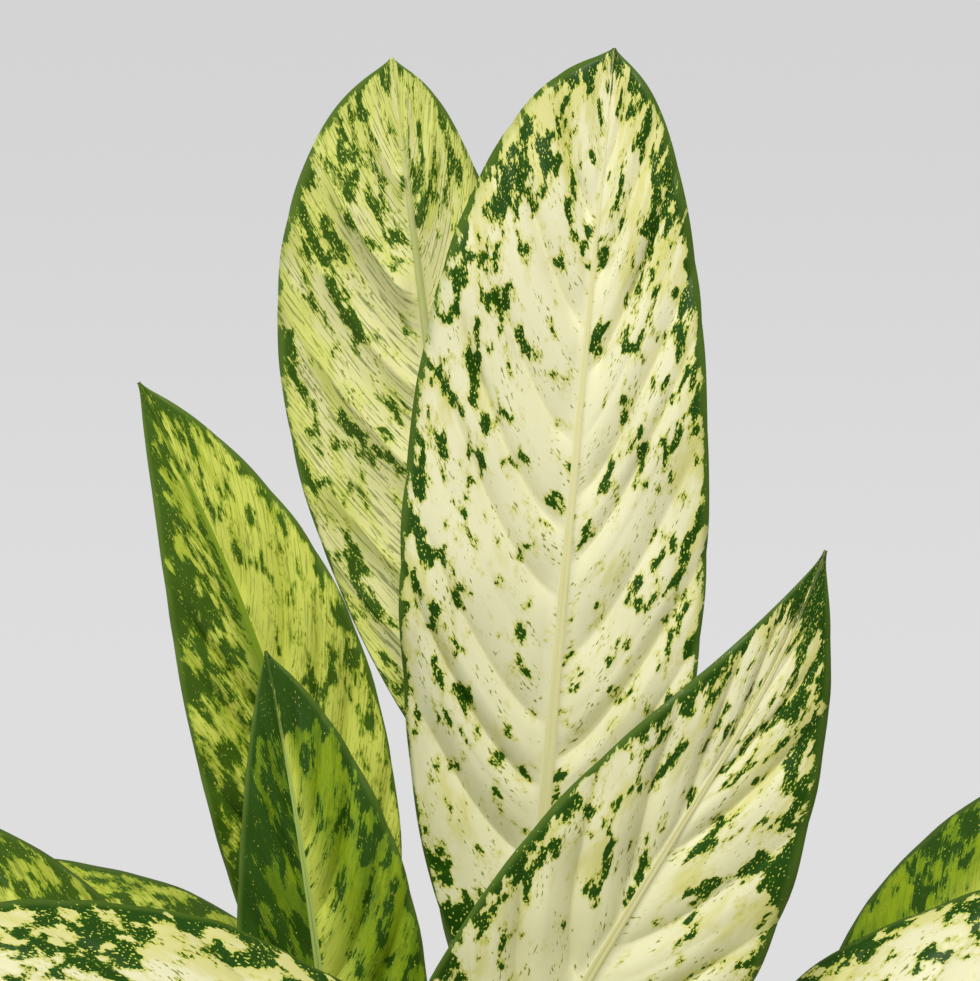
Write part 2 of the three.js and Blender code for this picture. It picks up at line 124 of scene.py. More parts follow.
# The relief of a blade. The pleats begin beside the midrib and are nearly flat again at the
# margin. They are deeper in the upper part, and need a half so wide for their full depth. Between
# them are lesser ones. Broad billows lie over them, and ripples and scallops shape the margin.
PLEAT = SimpleNamespace(
    uneven=0.22, uneven_waves=(3, 0.16, 0.6), strengths=(0.6, 1.2), sharp=0.8, lift=0.3,
    lesser=0.13, lesser_shift=0.5, begins=0.14, fades_from=0.6, fades_by=0.82, deeper=0.35,
    deeper_from=(0.45, 0.7), full_half=22, billow=0.55, billow_waves=(5, 24, 90),
    billow_begins=(0.05, 0.5), ripples=(8, 12), scallop=0.010, scallop_mean=0.6,
)
# The blades' maps: how far apart the halves and the leaves lie in them, in millimetres, how much
# PatchUV has of the veins' sweep, and the layout of a blade's two sides for baking.
MAPS = SimpleNamespace(
    halves=300, out_each=37, along_each=613, patch_sweep=0.4, bake_edges=(0.02, 0.51),
    bake_foot=0.02, bake_wide=0.47, bake_tall=0.96, bake_spread=1.3,
)
GAP = 0.3
SOIL_TOP = POT.height - SOIL.below_rim

# Where each stem leaves the soil, and its top.
STEMS = {
    "centre": ((6, 2), (10, 0, 232)),
    "left": ((-30, -10), (-44, -14, 218)),
    "right": ((36, -6), (54, -4, 214)),
    "back": ((0, 38), (-6, 54, 226)),
}

# The leaves. node is the share of the stem's height at which the stalk leaves it. base and tip
# are the ends of the midrib. face is where the upper side looks: its turn from the front towards
# +X, and its height above the horizon, in degrees. The other words are those of USUAL: skew gives
# the left half more of the width, at the base and at the tip. bow, sway and hook bend the midrib,
# fold is the V of the halves in degrees, and camber arches them. The blade is widest at the share
# peak of its length, and a higher base_power or tip_power makes that end slimmer. The margin has
# so many waves, of the height wave, and pleats is the share of the usual depth of the pleats.
# look names the finish, and green is how much more green the left and the right half are.
# On left_upright and left_young the greener left half is painted shade: it stands for the shade
# that half lies in.
USUAL = dict(
    skew=(0, 0), bow=15, sway=0, hook=0, fold=13, camber=0.16, peak=0.46, base_power=0.45,
    tip_power=0.75, wave=1.3, waves=3, pleats=1, look="green", green=(0, 0),
)
LEAVES = {
    "tall_front": dict(
        stem="centre", node=0.9, base=(4, 2, 324), tip=(27, 16, 579), face=(-6, 4), width=86,
        skew=(-0.04, 0.22), bow=5, fold=15, peak=0.48, base_power=0.4, tip_power=0.57, wave=1.6,
        look="cream", green=(-0.01, 0)),
    "tall_back": dict(
        stem="back", node=0.85, base=(-8, 42, 366), tip=(-34, 48, 576), face=(176, -3), width=69,
        skew=(-0.22, -0.25), bow=2, fold=10, camber=0.12, peak=0.6, base_power=0.95,
        tip_power=0.66, wave=1.4, look="pale"),
    # The greener left halves of left_upright and left_young are painted shade.
    "left_upright": dict(
        stem="left", node=0.92, base=(-44, 2, 308), tip=(-101, -10, 490), face=(8, 8), width=56,
        skew=(0.2, -0.25), bow=6, sway=8, fold=22, camber=0.2, base_power=0.55, tip_power=1.0,
        wave=0.8, look="lime", green=(0.06, -0.045)),
    "left_young": dict(
        stem="left", node=0.7, base=(-46, -28, 262), tip=(-66, -40, 421), face=(8, 8), width=56,
        skew=(0, -0.25), bow=6, sway=2, fold=26, camber=0.24, peak=0.4, base_power=0.5,
        tip_power=0.95, wave=0.6, look="green", green=(0.12, -0.045)),
    "front_right": dict(
        stem="centre", node=0.75, base=(-20, -42, 266), tip=(81, -54, 449), face=(14, 14),
        width=79, skew=(0.05, -0.13), bow=6, sway=-3, hook=-7, fold=18, camber=0.18, peak=0.37,
        tip_power=1.2, wave=1.0, look="bordered", green=(-0.01, 0.005)),
    "left_front": dict(
        stem="left", node=0.35, base=(-26, -86, 314), tip=(-205, -158, 332), face=(-10, 42),
        width=88, bow=14, fold=12, tip_power=0.7, wave=1.0, look="bordered", pleats=0.6,
        green=(0.085, 0.085)),
    "left_spreading": dict(
        stem="left", node=0.8, base=(-78, 4, 268), tip=(-195, 6, 376), face=(40, 45), width=74,
        bow=12, fold=14, base_power=0.5, look="lime", pleats=0.2, wave=0.4,
        green=(0.095, 0.095)),
    "left_back": dict(
        stem="back", node=0.7, base=(-56, 62, 298), tip=(-215, 110, 320), face=(0, 60), width=76,
        bow=16, fold=12, base_power=0.5, look="lime", pleats=0.2, wave=0.4,
        green=(0.075, 0.075)),
    "right_spreading": dict(
        stem="right", node=0.9, base=(90, 26, 268), tip=(168, 40, 382), face=(-40, 40), width=74,
        bow=10, fold=14, base_power=0.5, wave=0.3, pleats=0.15, green=(-0.035, -0.035)),
    "right_front": dict(
        stem="right", node=0.75, base=(62, -40, 306), tip=(235, -70, 334), face=(-10, 45),
        width=84, bow=14, fold=12, tip_power=0.7, wave=1.0, look="cream", pleats=0.6,
        green=(0.055, 0.055)),
    "back_upright": dict(
        stem="back", node=0.95, base=(4, 72, 296), tip=(14, 128, 452), face=(4, 26), width=66,
        bow=-6, fold=16, base_power=0.5, look="lime"),
    "mid_front": dict(
        stem="centre", node=0.62, base=(24, -74, 262), tip=(72, -246, 284), face=(14, 66),
        width=84, wave=1.4, look="cream", green=(0.03, 0.03)),
    "mid_front_left": dict(
        stem="centre", node=0.7, base=(-30, -78, 250), tip=(-96, -236, 268), face=(-22, 66),
        width=84, look="lime", green=(0.02, 0.02)),
    "mid_front_right": dict(
        stem="right", node=0.62, base=(76, -58, 262), tip=(212, -152, 290), face=(54, 66),
        width=84, wave=1.4, look="cream", green=(0.05, 0.05)),
    "mid_right_back": dict(
        stem="right", node=0.65, base=(70, 52, 250), tip=(214, 132, 288), face=(120, 66),
        width=80, base_power=0.5, wave=1.4),
    "mid_back": dict(
        stem="back", node=0.72, base=(2, 104, 262), tip=(4, 256, 270), face=(-178, 66),
        width=84, look="lime", green=(0.03, 0.03)),
    "mid_back_left": dict(
        stem="back", node=0.64, base=(-46, 96, 258), tip=(-148, 220, 280), face=(-146, 66),
        width=82, wave=1.4, look="cream", green=(0.04, 0.04)),
    "mid_back_right": dict(
        stem="back", node=0.66, base=(44, 92, 250), tip=(136, 214, 274), face=(144, 66),
        width=82),
    "low_front": dict(
        stem="centre", node=0.5, base=(12, -72, 224), tip=(40, -260, 202), face=(8, 76),
        width=86, bow=20, wave=1.4),
    "low_front_left": dict(
        stem="left", node=0.45, base=(-60, -66, 218), tip=(-150, -226, 190), face=(-30, 76),
        width=84, bow=20, look="cream", green=(0.05, 0.05)),
    "low_front_right": dict(
        stem="right", node=0.5, base=(76, -60, 222), tip=(196, -202, 200), face=(40, 76),
        width=86, bow=20, look="lime", green=(0.03, 0.03)),
    "low_left_front": dict(
        stem="left", node=0.5, base=(-84, -26, 236), tip=(-262, -92, 222), face=(-70, 76),
        width=82, bow=18, look="lime", green=(0.04, 0.04)),
    "low_left": dict(
        stem="left", node=0.4, base=(-88, 26, 212), tip=(-264, 66, 186), face=(-104, 76),
        width=84, bow=18),
    "low_left_back": dict(
        stem="back", node=0.52, base=(-72, 74, 236), tip=(-206, 190, 222), face=(-132, 76),
        width=82, bow=18, look="cream", green=(0.05, 0.05)),
    "low_right": dict(
        stem="right", node=0.55, base=(96, 16, 220), tip=(274, 52, 196), face=(102, 76),
        width=84, bow=18, look="cream", green=(0.04, 0.04)),
    "low_right_back": dict(
        stem="right", node=0.42, base=(80, 58, 208), tip=(206, 180, 186), face=(130, 76),
        width=82, bow=18, look="lime", green=(0.05, 0.05)),
    "low_back_left": dict(
        stem="back", node=0.42, base=(-34, 106, 216), tip=(-104, 274, 192), face=(-158, 76),
        width=84, bow=20, wave=1.4),
    "low_back_right": dict(
        stem="back", node=0.48, base=(40, 104, 222), tip=(122, 262, 200), face=(152, 76),
        width=84, bow=20, wave=1.4, look="cream", green=(0.04, 0.04)),
}
# The usual words are filled in, and seed is the number that a leaf's random draws start from.
LEAVES = {
    name: SimpleNamespace(**{**USUAL, **said, "name": name, "seed": index})
    for index, (name, said) in enumerate(LEAVES.items())
}


# ---- sizes and colours that a user would change ------------------------------------------------


def linear(red, green, blue):
    """A display colour of 0 to 255 as Blender's linear colour."""
    shares = [c / 255 for c in (red, green, blue)]
    return tuple(s / 12.92 if s <= 0.04045 else ((s + 0.055) / 1.055) ** 2.4 for s in shares)


def length(name, description, default):
    """A size that a user may change, with its default in millimetres."""
    return FloatProperty(
        name=name, description=description, default=default * MM, unit="LENGTH", precision=5)


def share(name, description, default):
    """A share from 0 to 1 that a user may change."""
    return FloatProperty(
        name=name, description=description, default=default, min=0, max=1, subtype="FACTOR")


def colour(name, description, *default):
    """A colour that a user may change, with its default as a display colour."""
    return FloatVectorProperty(
        name=name, description=description, default=linear(*default), subtype="COLOR", min=0,
        max=1)


class BladeSettings(bpy.types.PropertyGroup):
    """Sizes of the leaf blades."""

    thickness: length("Thickness", "Thickness of a blade between its veins", 0.8)
    margin: length("Margin", "Thickness of a blade at its margin", 0.4)
    vein_spacing: length("Vein spacing", "Distance between side veins along the midrib", 26.0)
    relief: length("Relief", "How far a side vein lies below the blade's upper side", 3.6)
    ripple: length("Ripple", "Height of the small waves along the margin", 0.55)
    rib_height: length("Rib height", "How far the midrib stands out above", 0.85)
    row_step: length("Row step", "Distance between the mesh's rows", 1.5)
    columns: IntProperty(
        name="Columns", description="Columns of the mesh in each half", default=19, min=4)


class LeafColours(bpy.types.PropertyGroup):
    """Colours of the leaf blades."""

    cream: colour("Cream", "Ground of the cream leaves", 242, 240, 200)
    butter: colour("Butter", "Yellowish clouds on the cream", 219, 216, 120)
    lime: colour("Lime", "Ground of the yellow-green leaves", 220, 228, 102)
    lime_cloud: colour("Lime cloud", "Clouds on the yellow-green", 170, 188, 48)
    pale: colour("Pale", "Ground of the pale leaves", 238, 236, 174)
    leaf: colour("Leaf green", "Ground of the green leaves", 146, 172, 26)
    leaf_cloud: colour("Leaf cloud", "Clouds on the green leaves", 92, 128, 20)
    dark: colour("Dark green", "The blotches", 50, 96, 6)
    deep: colour("Deep green", "The darkest parts of the blotches", 34, 74, 4)
    speck: colour("Speck", "Small streaks on the ground", 112, 128, 14)
    halo: colour("Halo", "The rim of a blotch", 186, 196, 42)
    rib: colour("Midrib", "The midrib of the cream leaves", 234, 230, 176)
    rib_green: colour("Green midrib", "The midrib of the green leaves", 176, 200, 110)
    rib_dull: colour("Dull midrib", "The midrib of the pale leaves", 196, 202, 136)
    # Shade is painted shade beside the fine veins, over their own darker green.
    shade: colour("Shade", "Fine dark veins", 62, 96, 22)
    middling: colour("Middling", "The rim of a blotch on the greener leaves", 128, 158, 38)
    edge: colour("Edge", "The thin margin itself", 128, 156, 60)


class StemColours(bpy.types.PropertyGroup):
    """Colours of the canes and leaf stalks."""

    stalk: colour("Stalk", "The leaf stalks", 168, 190, 104)
    stalk_pale: colour("Pale stalk", "Streaks along the stalks", 214, 220, 158)
    cane: colour("Cane", "The canes", 112, 134, 58)
    scar: colour("Scar", "The rings that old leaves left", 150, 128, 84)


class PotSettings(bpy.types.PropertyGroup):
    """Sizes and colours of the pot and its soil."""

    sides: IntProperty(name="Sides", description="Sides of the turned pot", default=144, min=24)
    glaze: colour("Glaze", "The pot's matt glaze", 226, 223, 216)
    clay: colour("Clay", "Where the glaze is thin, at the edges", 205, 198, 186)
    soil: colour("Soil", "Dark potting soil", 44, 31, 22)
    soil_dry: colour("Dry soil", "Drier crumbs and fibres", 92, 68, 47)
    crumbs: IntProperty(name="Crumbs", description="Loose crumbs on the soil", default=900, min=0)
    crumb: length("Crumb", "Mean radius of a loose crumb", 1.7)


class StageSettings(bpy.types.PropertyGroup):
    """The stage: background, lights and camera."""

    floor_radius: length("Floor", "Radius of the floor", 1300)
    floor: colour("Floor colour", "Colour of the floor", 225, 225, 225)
    high: colour("Background, high", "The background near the horizon", 212, 212, 212)
    low: colour("Background, low", "The background below the horizon", 222, 222, 222)
    key_power: FloatProperty(
        name="Key light", description="Power of the key light", default=33, unit="POWER")
    fill_power: FloatProperty(
        name="Fill light", description="Power of the fill light", default=5, unit="POWER")
    ambient: share("Ambient", "Share of the background's light that reaches the plant", 0.43)
    distance: length("Camera distance", "From the camera to the point it looks at", 1600)
    elevation: FloatProperty(
        name="Camera elevation", description="How far the camera is above the level",
        default=math.radians(5), subtype="ANGLE")
    aim: FloatVectorProperty(
        name="Camera aim", description="The point that the camera looks at",
        default=(-0.00676, 0, 0.46), subtype="XYZ", unit="LENGTH")
    seen: length("Seen height", "Height of the picture at the point it looks at", 265.14)


SETTINGS = {
    "plant_blades": BladeSettings,
    "plant_leaf_colours": LeafColours,
    "plant_stem_colours": StemColours,
    "plant_pot": PotSettings,
    "plant_stage": StageSettings,
}


# ---- small helpers -----------------------------------------------------------------------------


def unit(v):
    """Vectors of length 1 that point as v does."""
    return v / np.linalg.norm(v, axis=-1, keepdims=True)


def lerp(a, b, t):
    """From a to b as t goes from 0 to 1."""
    return a + (b - a) * t


def smooth(low, high, x):
    """From 0 to 1 as x goes from low to high, with a soft start and end."""
    t = np.clip((x - low) / (high - low), 0, 1)
    return t * t * (3 - 2 * t)


def direction(turn, height):
    """The direction with this turn from the front towards +X, and this height, in degrees."""
    a, e = math.radians(turn), math.radians(height)
    return np.array((math.sin(a) * math.cos(e), -math.cos(a) * math.cos(e), math.sin(e)))


def angles_round(sides):
    """The angles of points that stand evenly round a circle."""
    return np.linspace(0, 2 * math.pi, sides, endpoint=False)


def circle(sides):
    """Points that stand evenly round a circle of radius 1."""
    angles = angles_round(sides)
    return np.c_[np.cos(angles), np.sin(angles)]


def bezier(points, t):
    """A quadratic or cubic curve through its control points, at the shares t."""
    t = np.atleast_1d(t)[:, None]
    points = [np.asarray(p, float) for p in points]
    while len(points) > 1:
        points = [lerp(a, b, t) for a, b in zip(points, points[1:])]
    return points[0]


def bezier_slope(points, t):
    """The directions of such a curve."""
    points = [np.asarray(p, float) for p in points]
    return unit(bezier([b - a for a, b in zip(points, points[1:])], t))


def waves(rng, count, shortest, longest):
    """A smooth random function of a point, from a few plane waves. It stays within about 1."""
    angles = rng.uniform(0, 2 * math.pi, count)
    lengths = np.geomspace(shortest, longest, count)
    ways = np.c_[np.cos(angles), np.sin(angles)] * (2 * math.pi / lengths)[:, None]
    shifts = rng.uniform(0, 2 * math.pi, count)
    return lambda x, y: sum(
        np.sin(x * w[0] + y * w[1] + s) for w, s in zip(ways, shifts)) / math.sqrt(count)


def new_object(name, points, faces, maps=None, slots=None, smooth_faces=True):
    """A mesh object from points in millimetres. maps are UV maps with a value for each point."""
    mesh = bpy.data.meshes.new(name)
    mesh.from_pydata((np.asarray(points) * MM).tolist(), [], [list(map(int, f)) for f in faces])
    corners = np.zeros(len(mesh.loops), np.int32)
    mesh.loops.foreach_get("vertex_index", corners)
    for map_name, values in (maps or {}).items():
        layer = mesh.uv_layers.new(name=map_name)
        layer.uv.foreach_set("vector", np.asarray(values, np.float32)[corners].ravel())
    if slots is not None:
        mesh.polygons.foreach_set("material_index", np.asarray(slots, np.int32))
    mesh.polygons.foreach_set("use_smooth", [smooth_faces] * len(mesh.polygons))
    mesh.update()
    made = bpy.data.objects.new(name, mesh)
    bpy.context.scene.collection.objects.link(made)
    return made


def grid_faces(rows, columns, first=0, wrap=False, flip=False):
    """Quads of a grid of points in rows. wrap joins each row's last column to its first."""
    across = columns if wrap else columns - 1
    r, c = np.meshgrid(np.arange(rows - 1), np.arange(across), indexing="ij")
    a, b = r * columns + c, r * columns + (c + 1) % columns
    quads = np.stack([a, b, b + columns, a + columns], -1).reshape(-1, 4) + first
    return quads[:, ::-1] if flip else quads


def tube(rings):
    """Points and faces of a closed tube through rings of points, each turning to the left."""
    rings = np.asarray(rings)
    count, sides = rings.shape[:2]
    faces = grid_faces(count, sides, wrap=True).tolist()
    faces.append(list(range(sides))[::-1])
    faces.append(list(range((count - 1) * sides, count * sides)))
    return rings.reshape(-1, 3), faces


def combined(first, others, operation, name):
    """first as one closed mesh, joined with the other closed objects or with them cut away."""
    for other in others:
        boolean = first.modifiers.new("combine", "BOOLEAN")
        boolean.operation, boolean.solver, boolean.object = operation, "MANIFOLD", other
    graph = bpy.context.evaluated_depsgraph_get()
    mesh = bpy.data.meshes.new_from_object(
        first.evaluated_get(graph), preserve_all_data_layers=True, depsgraph=graph)
    first.modifiers.clear()
    first.data = mesh
    mesh.materials.clear()
    mesh.polygons.foreach_set("material_index", [0] * len(mesh.polygons))
    first.name = mesh.name = name
    for other in others:
        bpy.data.objects.remove(other)
    return first


def soften(piece, sharp_from):
    """Smooth shading, but for edges whose angle is at least so many degrees."""
    piece.data.polygons.foreach_set("use_smooth", [True] * len(piece.data.polygons))
    piece.data.set_sharp_from_angle(angle=math.radians(sharp_from))


def put(piece, node, slot, *materials):
    """Gives a finished piece its materials, and lets it stand for its node of the frame."""
    piece.data.materials.clear()
    for finish in materials:
        piece.data.materials.append(finish)
    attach(piece, "root")
    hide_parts(node)


# ---- nodes -------------------------------------------------------------------------------------


class Nodes:
    """Builds a material's or the world's node tree from short calls."""

    def __init__(self, owner):
        owner.use_nodes = True
        self.tree = owner.node_tree
        self.tree.nodes.clear()

    def add(self, kind, *inputs, **settings):
        """A node. inputs fill its sockets in order, and None leaves one as it is."""
        node = self.tree.nodes.new(kind)
        for key, value in settings.items():
            setattr(node, key, value)
        self.fill(node, dict(enumerate(inputs)))
        return node

    def fill(self, node, inputs):
        """Links or sets a node's sockets. None leaves one as it is."""
        for key, value in inputs.items():
            if value is None:
                continue
            if isinstance(value, bpy.types.NodeSocket):
                self.tree.links.new(value, node.inputs[key])
            else:
                node.inputs[key].default_value = value

    def math(self, operation, a, b=None):
        return self.add("ShaderNodeMath", a, b, operation=operation).outputs[0]

    def plus(self, *terms):
        """The sum of two or more numbers."""
        total = terms[0]
        for term in terms[1:]:
            total = self.math("ADD", total, term)
        return total

    def times(self, a, b):
        return self.math("MULTIPLY", a, b)

    def step(self, value, low, high, to_low=0.0, to_high=1.0):
        """A smooth step from to_low to to_high as value goes from low to high."""
        made = self.add(
            "ShaderNodeMapRange", value, low, high, to_low, to_high,
            interpolation_type="SMOOTHSTEP")
        return made.outputs[0]

    def mix(self, factor, a, b):
        """A colour from a to b. Each may be a socket or three numbers."""
        node = self.tree.nodes.new("ShaderNodeMix")
        node.data_type = "RGBA"
        whole = [(*c, 1.0) if isinstance(c, tuple) else c for c in (a, b)]
        self.fill(node, {0: factor, 6: whole[0], 7: whole[1]})
        return node.outputs[2]

    def map(self, name):
        """The two numbers of a UV map."""
        node = self.add("ShaderNodeUVMap", uv_map=name)
        split = self.add("ShaderNodeSeparateXYZ", node.outputs[0])
        return split.outputs[0], split.outputs[1]

    def point(self, x, y, z):
        return self.add("ShaderNodeCombineXYZ", x, y, z).outputs[0]

    def noise(self, point, scale=1.0, detail=2.0, rough=0.5):
        node = self.add("ShaderNodeTexNoise", point)
        self.fill(node, {"Scale": scale, "Detail": detail, "Roughness": rough})
        return node.outputs[0]

    def scaled(self, x, y, wide, tall, shift):
        """The point (x / wide, y / tall), with a shift that makes its noise a new one."""
        return self.point(self.times(x, 1 / wide), self.times(y, 1 / tall), shift)

    def bump(self, height, distance, strength):
        node = self.add("ShaderNodeBump")
        self.fill(node, {"Strength": strength, "Distance": distance, "Height": height})
        return node.outputs[0]

    def principled(self, **inputs):
        """The surface, whose sockets are given by name with _ for each space."""
        node = self.add("ShaderNodeBsdfPrincipled")
        self.fill(node, {key.replace("_", " "): value for key, value in inputs.items()})
        return node.outputs[0]

    def finish(self, surface):
        self.add("ShaderNodeOutputMaterial", surface)


def material(name):
    """A new material and its nodes."""
    made = bpy.data.materials.new(name)
    return made, Nodes(made)


# ---- leaf finishes -----------------------------------------------------------------------------
# The finishes read these maps of the blades:
# VeinUV, a point's place in the weave of veins, in millimetres: along the midrib to where its side
#   vein starts, and out along that vein. Each half of each leaf has its own stretch.
# PatchUV, the same with less of the veins' sweep, for the blotches, their rims and the dots.
# LeafUV, the share of the length, and the share of the half width, which is below 0 on the midrib.
# LeafMix, how much more green the leaf's half is than usual, which is also painted shade on the
# greener left halves of left_upright and left_young, and the leaf's own random tint.
# OFBake, the two sides laid flat for baking, which no finish reads.

# The patterns' sizes in millimetres, along the midrib and out along the veins. Only fibre, the
# grain of the midrib, is in shares of its width and length.
PATTERN = SimpleNamespace(
    cloud=(17, 24), grain=(0.55, 14), fray=(0.9, 8), broad=(24, 28), notch=(2.4, 3.6),
    ragged=(0.8, 1.2), rim=(4.5, 9), cluster=(9, 13), speck=(1.0, 2.4), dot=(0.75, 0.95),
    dotted=(5, 7), vein_step=2.6, vein_drift=(5, 40), vein_here=(1.4, 7.5), fibre=(0.22, 0.16),
)

# The looks. ground, cloud, rim and rib name their colours. The clouds of the second colour are
# wider where cloud_from is lower, and streak is how strong that colour is in the streaks. patch is
# the size of a blotch, along the midrib and out along the veins. cover is how rare blotches are,
# and heart, upper, margin and tip are how many more there are in the middle, in the upper part, at
# the margin and at the tip, whose green starts at the share tip_from of the length. soft and halo
# are the widths of a blotch's edge and rim, and streaky is how much streaks fray it. speck is how
# rare the specks are, dots how rare the pale dots, and lines how strong the fine dark lines along
# the veins are: the fine veins' own darker green with painted shade beside them.
# faded is how much lighter the blotches are than the darkest green, and crease_shade how much
# painted shade deepens the green of the greener half of a leaf beside the midrib, where the fold
# lies in shade. gloss is how much the surface mirrors.
LOOKS = {
    "cream": SimpleNamespace(
        ground="cream", cloud="butter", rim="halo", rib="rib", cloud_from=0.52, streak=0.08,
        patch=(6.6, 9.4), cover=0.60, heart=-0.065, upper=0.038, margin=0.04, tip=0.24, soft=0.005,
        halo=0.045, streaky=0.018, speck=0.668, dots=0.645, lines=0.0, faded=0.0,
        crease_shade=0.0, tip_from=0.952, gloss=0.22),
    "pale": SimpleNamespace(
        ground="pale", cloud="lime", rim="middling", rib="rib_dull", cloud_from=0.49, streak=0.3,
        patch=(8.0, 12.0), cover=0.622, heart=-0.01, upper=0.03, margin=0.0, tip=0.10, soft=0.012,
        halo=0.05, streaky=0.05, speck=0.65, dots=0.64, lines=1.0, faded=0.12,
        crease_shade=0.0, tip_from=0.945, gloss=0.25),
    "lime": SimpleNamespace(
        ground="lime", cloud="lime_cloud", rim="middling", rib="middling", cloud_from=0.54,
        streak=0.3, patch=(7.0, 10.0), cover=0.58, heart=0.0, upper=0.0, margin=0.09, tip=0.22,
        soft=0.018, halo=0.09, streaky=0.05, speck=0.64, dots=0.70, lines=0.7, faded=0.2,
        crease_shade=0.75, tip_from=0.895, gloss=0.25),
    "green": SimpleNamespace(
        ground="leaf", cloud="leaf_cloud", rim="middling", rib="rib_green", cloud_from=0.50,
        streak=0.35, patch=(6.5, 12.0), cover=0.525, heart=-0.06, upper=0.0, margin=0.16, tip=0.30,
        soft=0.028, halo=0.08, streaky=0.07, speck=0.65, dots=0.72, lines=0.4, faded=0.05,
        crease_shade=0.7, tip_from=0.84, gloss=0.28),
}
# A cream leaf with a broad green border and tip.
LOOKS["bordered"] = SimpleNamespace(
    **{**vars(LOOKS["cream"]), "margin": 0.16, "tip": 0.34, "tip_from": 0.885})


def leaf_material(look_name, under):
    """The upper side's or the underside's finish of leaves of one look."""
    look = LOOKS[look_name]
    colours = bpy.context.scene.plant_leaf_colours
    made, n = material(f"{look_name}_{'underside' if under else 'upper_side'}")
    tone = {key: tuple(getattr(colours, key)) for key in LeafColours.__annotations__}
    along, out = n.map("VeinUV")
    near_along, near_out = n.map("PatchUV")
    length_share, width_share = n.map("LeafUV")
    # How much greener a half is: the leaf's own tone, and painted shade on the shaded halves.
    green_and_painted_shade, tint = n.map("LeafMix")

    # The ground: clouds of a second colour, and faint streaks along the veins.
    cloud = n.noise(n.scaled(along, out, *PATTERN.cloud, 1.0), detail=3, rough=0.6)
    cloud = n.plus(
        cloud, n.times(tint, 0.08), n.times(green_and_painted_shade, 1.6),
        n.step(width_share, 0.3, 1.0, -0.06, 0.09), n.step(length_share, 0.72, 0.95, 0.0, 0.14))
    clouded = n.step(cloud, look.cloud_from, look.cloud_from + 0.18)
    ground = n.mix(n.times(clouded, 0.7), tone[look.ground], tone[look.cloud])
    grain = n.noise(n.scaled(along, out, *PATTERN.grain, 2.0), detail=3, rough=0.7)
    ground = n.mix(n.step(grain, 0.45, 0.75, 0.0, look.streak), ground, tone[look.cloud])

    # Blotches: ragged patches, more of them at the margin, whose very edge is green all along.
    def patchy(size, shift, **kind):
        return n.noise(n.scaled(near_along, near_out, *size, shift), **kind)

    broad = patchy(PATTERN.broad, 4.0, detail=1)
    patch = patchy(look.patch, 5.0, detail=1.5, rough=0.5)
    notched = patchy(PATTERN.notch, 13.0, detail=2, rough=0.55)
    ragged = patchy(PATTERN.ragged, 6.0, detail=2, rough=0.6)
    rim = patchy(PATTERN.rim, 7.0, detail=3, rough=0.65)
    frayed = n.noise(n.scaled(along, out, *PATTERN.fray, 3.0), detail=2, rough=0.6)
    at_margin = n.step(n.plus(width_share, n.step(rim, 0.3, 0.7, -0.09, 0.07)), 0.84, 0.98)
    at_edge = n.step(n.plus(width_share, n.times(ragged, 0.025)), 0.968, 1.005)
    at_tip = n.step(
        n.plus(length_share, n.step(rim, 0.3, 0.7, -0.02, 0.015)),
        look.tip_from, look.tip_from + 0.042)
    field = n.plus(
        patch,
        n.step(broad, 0.3, 0.7, -0.115, 0.075),
        n.step(width_share, 0.2, 0.85, look.heart, 0.04),
        n.step(notched, 0.25, 0.75, -0.07, 0.07),
        n.step(ragged, 0.25, 0.75, -0.035, 0.035),
        n.step(frayed, 0.3, 0.7, -look.streaky, look.streaky),
        n.step(length_share, 0.55, 0.9, 0.0, look.upper),
        n.times(at_margin, look.margin),
        n.times(at_edge, 0.15),
        n.times(at_tip, look.tip),
        green_and_painted_shade,
    )
    blotch = n.step(field, look.cover - look.soft, look.cover + look.soft)
    haloed = n.step(field, look.cover - look.halo, look.cover - 0.004)
    near = n.step(field, look.cover - 0.14, look.cover - 0.02)
    ground = n.mix(n.times(near, 0.6), ground, tone[look.cloud])

    # Painted shade: beside the midrib a greener half is painted deeper green, for the shade in the
    # fold there, and a paler one yellower.
    crease_shade = n.times(
        n.step(width_share, 0.0, 0.5, look.crease_shade, 0.0), n.step(green_and_painted_shade, 0.02, 0.06))
    ground = n.mix(crease_shade, ground, tone["leaf_cloud"])
    paler = n.step(green_and_painted_shade, -0.025, -0.01, 1.0, 0.0)
    bright = n.times(n.step(width_share, 0.0, 0.55, 0.8, 0.0), paler)
    ground = n.mix(bright, ground, tone["lime"])

    # Specks: short streaks in clusters on the ground, and pale dots in the blotches.
    clusters = n.noise(n.scaled(along, out, *PATTERN.cluster, 8.0), detail=1)
    cluster = n.step(clusters, 0.42, 0.62, -0.14, 0.04)
    speck = n.noise(n.scaled(along, out, *PATTERN.speck, 9.0), detail=1.5, rough=0.55)
    specked = n.plus(speck, cluster, n.step(near, 0.0, 1.0, 0.0, 0.02))
    specks = n.step(specked, look.speck, look.speck + 0.03)
    dot = patchy(PATTERN.dot, 10.0, detail=0.5, rough=0.5)
    dotted = n.step(patchy(PATTERN.dotted, 11.0, detail=1), 0.35, 0.65, -0.06, 0.03)
    fewer = n.step(width_share, 0.90, 1.0, 0.0, -0.12)
    dots = n.step(n.plus(dot, dotted, fewer), look.dots, look.dots + 0.035)

    green = n.mix(
        n.step(n.plus(field, n.times(ragged, 0.15)), look.cover + 0.04, look.cover + 0.17),
        tone["dark"], tone["deep"])
    green = n.mix(look.faded, green, tone["middling"])
    green = n.mix(dots, green, tone["lime"])
    base = n.mix(n.times(haloed, 0.75), ground, tone[look.rim])
    yellowed = n.step(specked, look.speck - 0.06, look.speck, 0.0, 0.6)
    base = n.mix(yellowed, base, tone["halo"])
    base = n.mix(n.times(specks, 0.85), base, tone["speck"])
    base = n.mix(blotch, base, green)

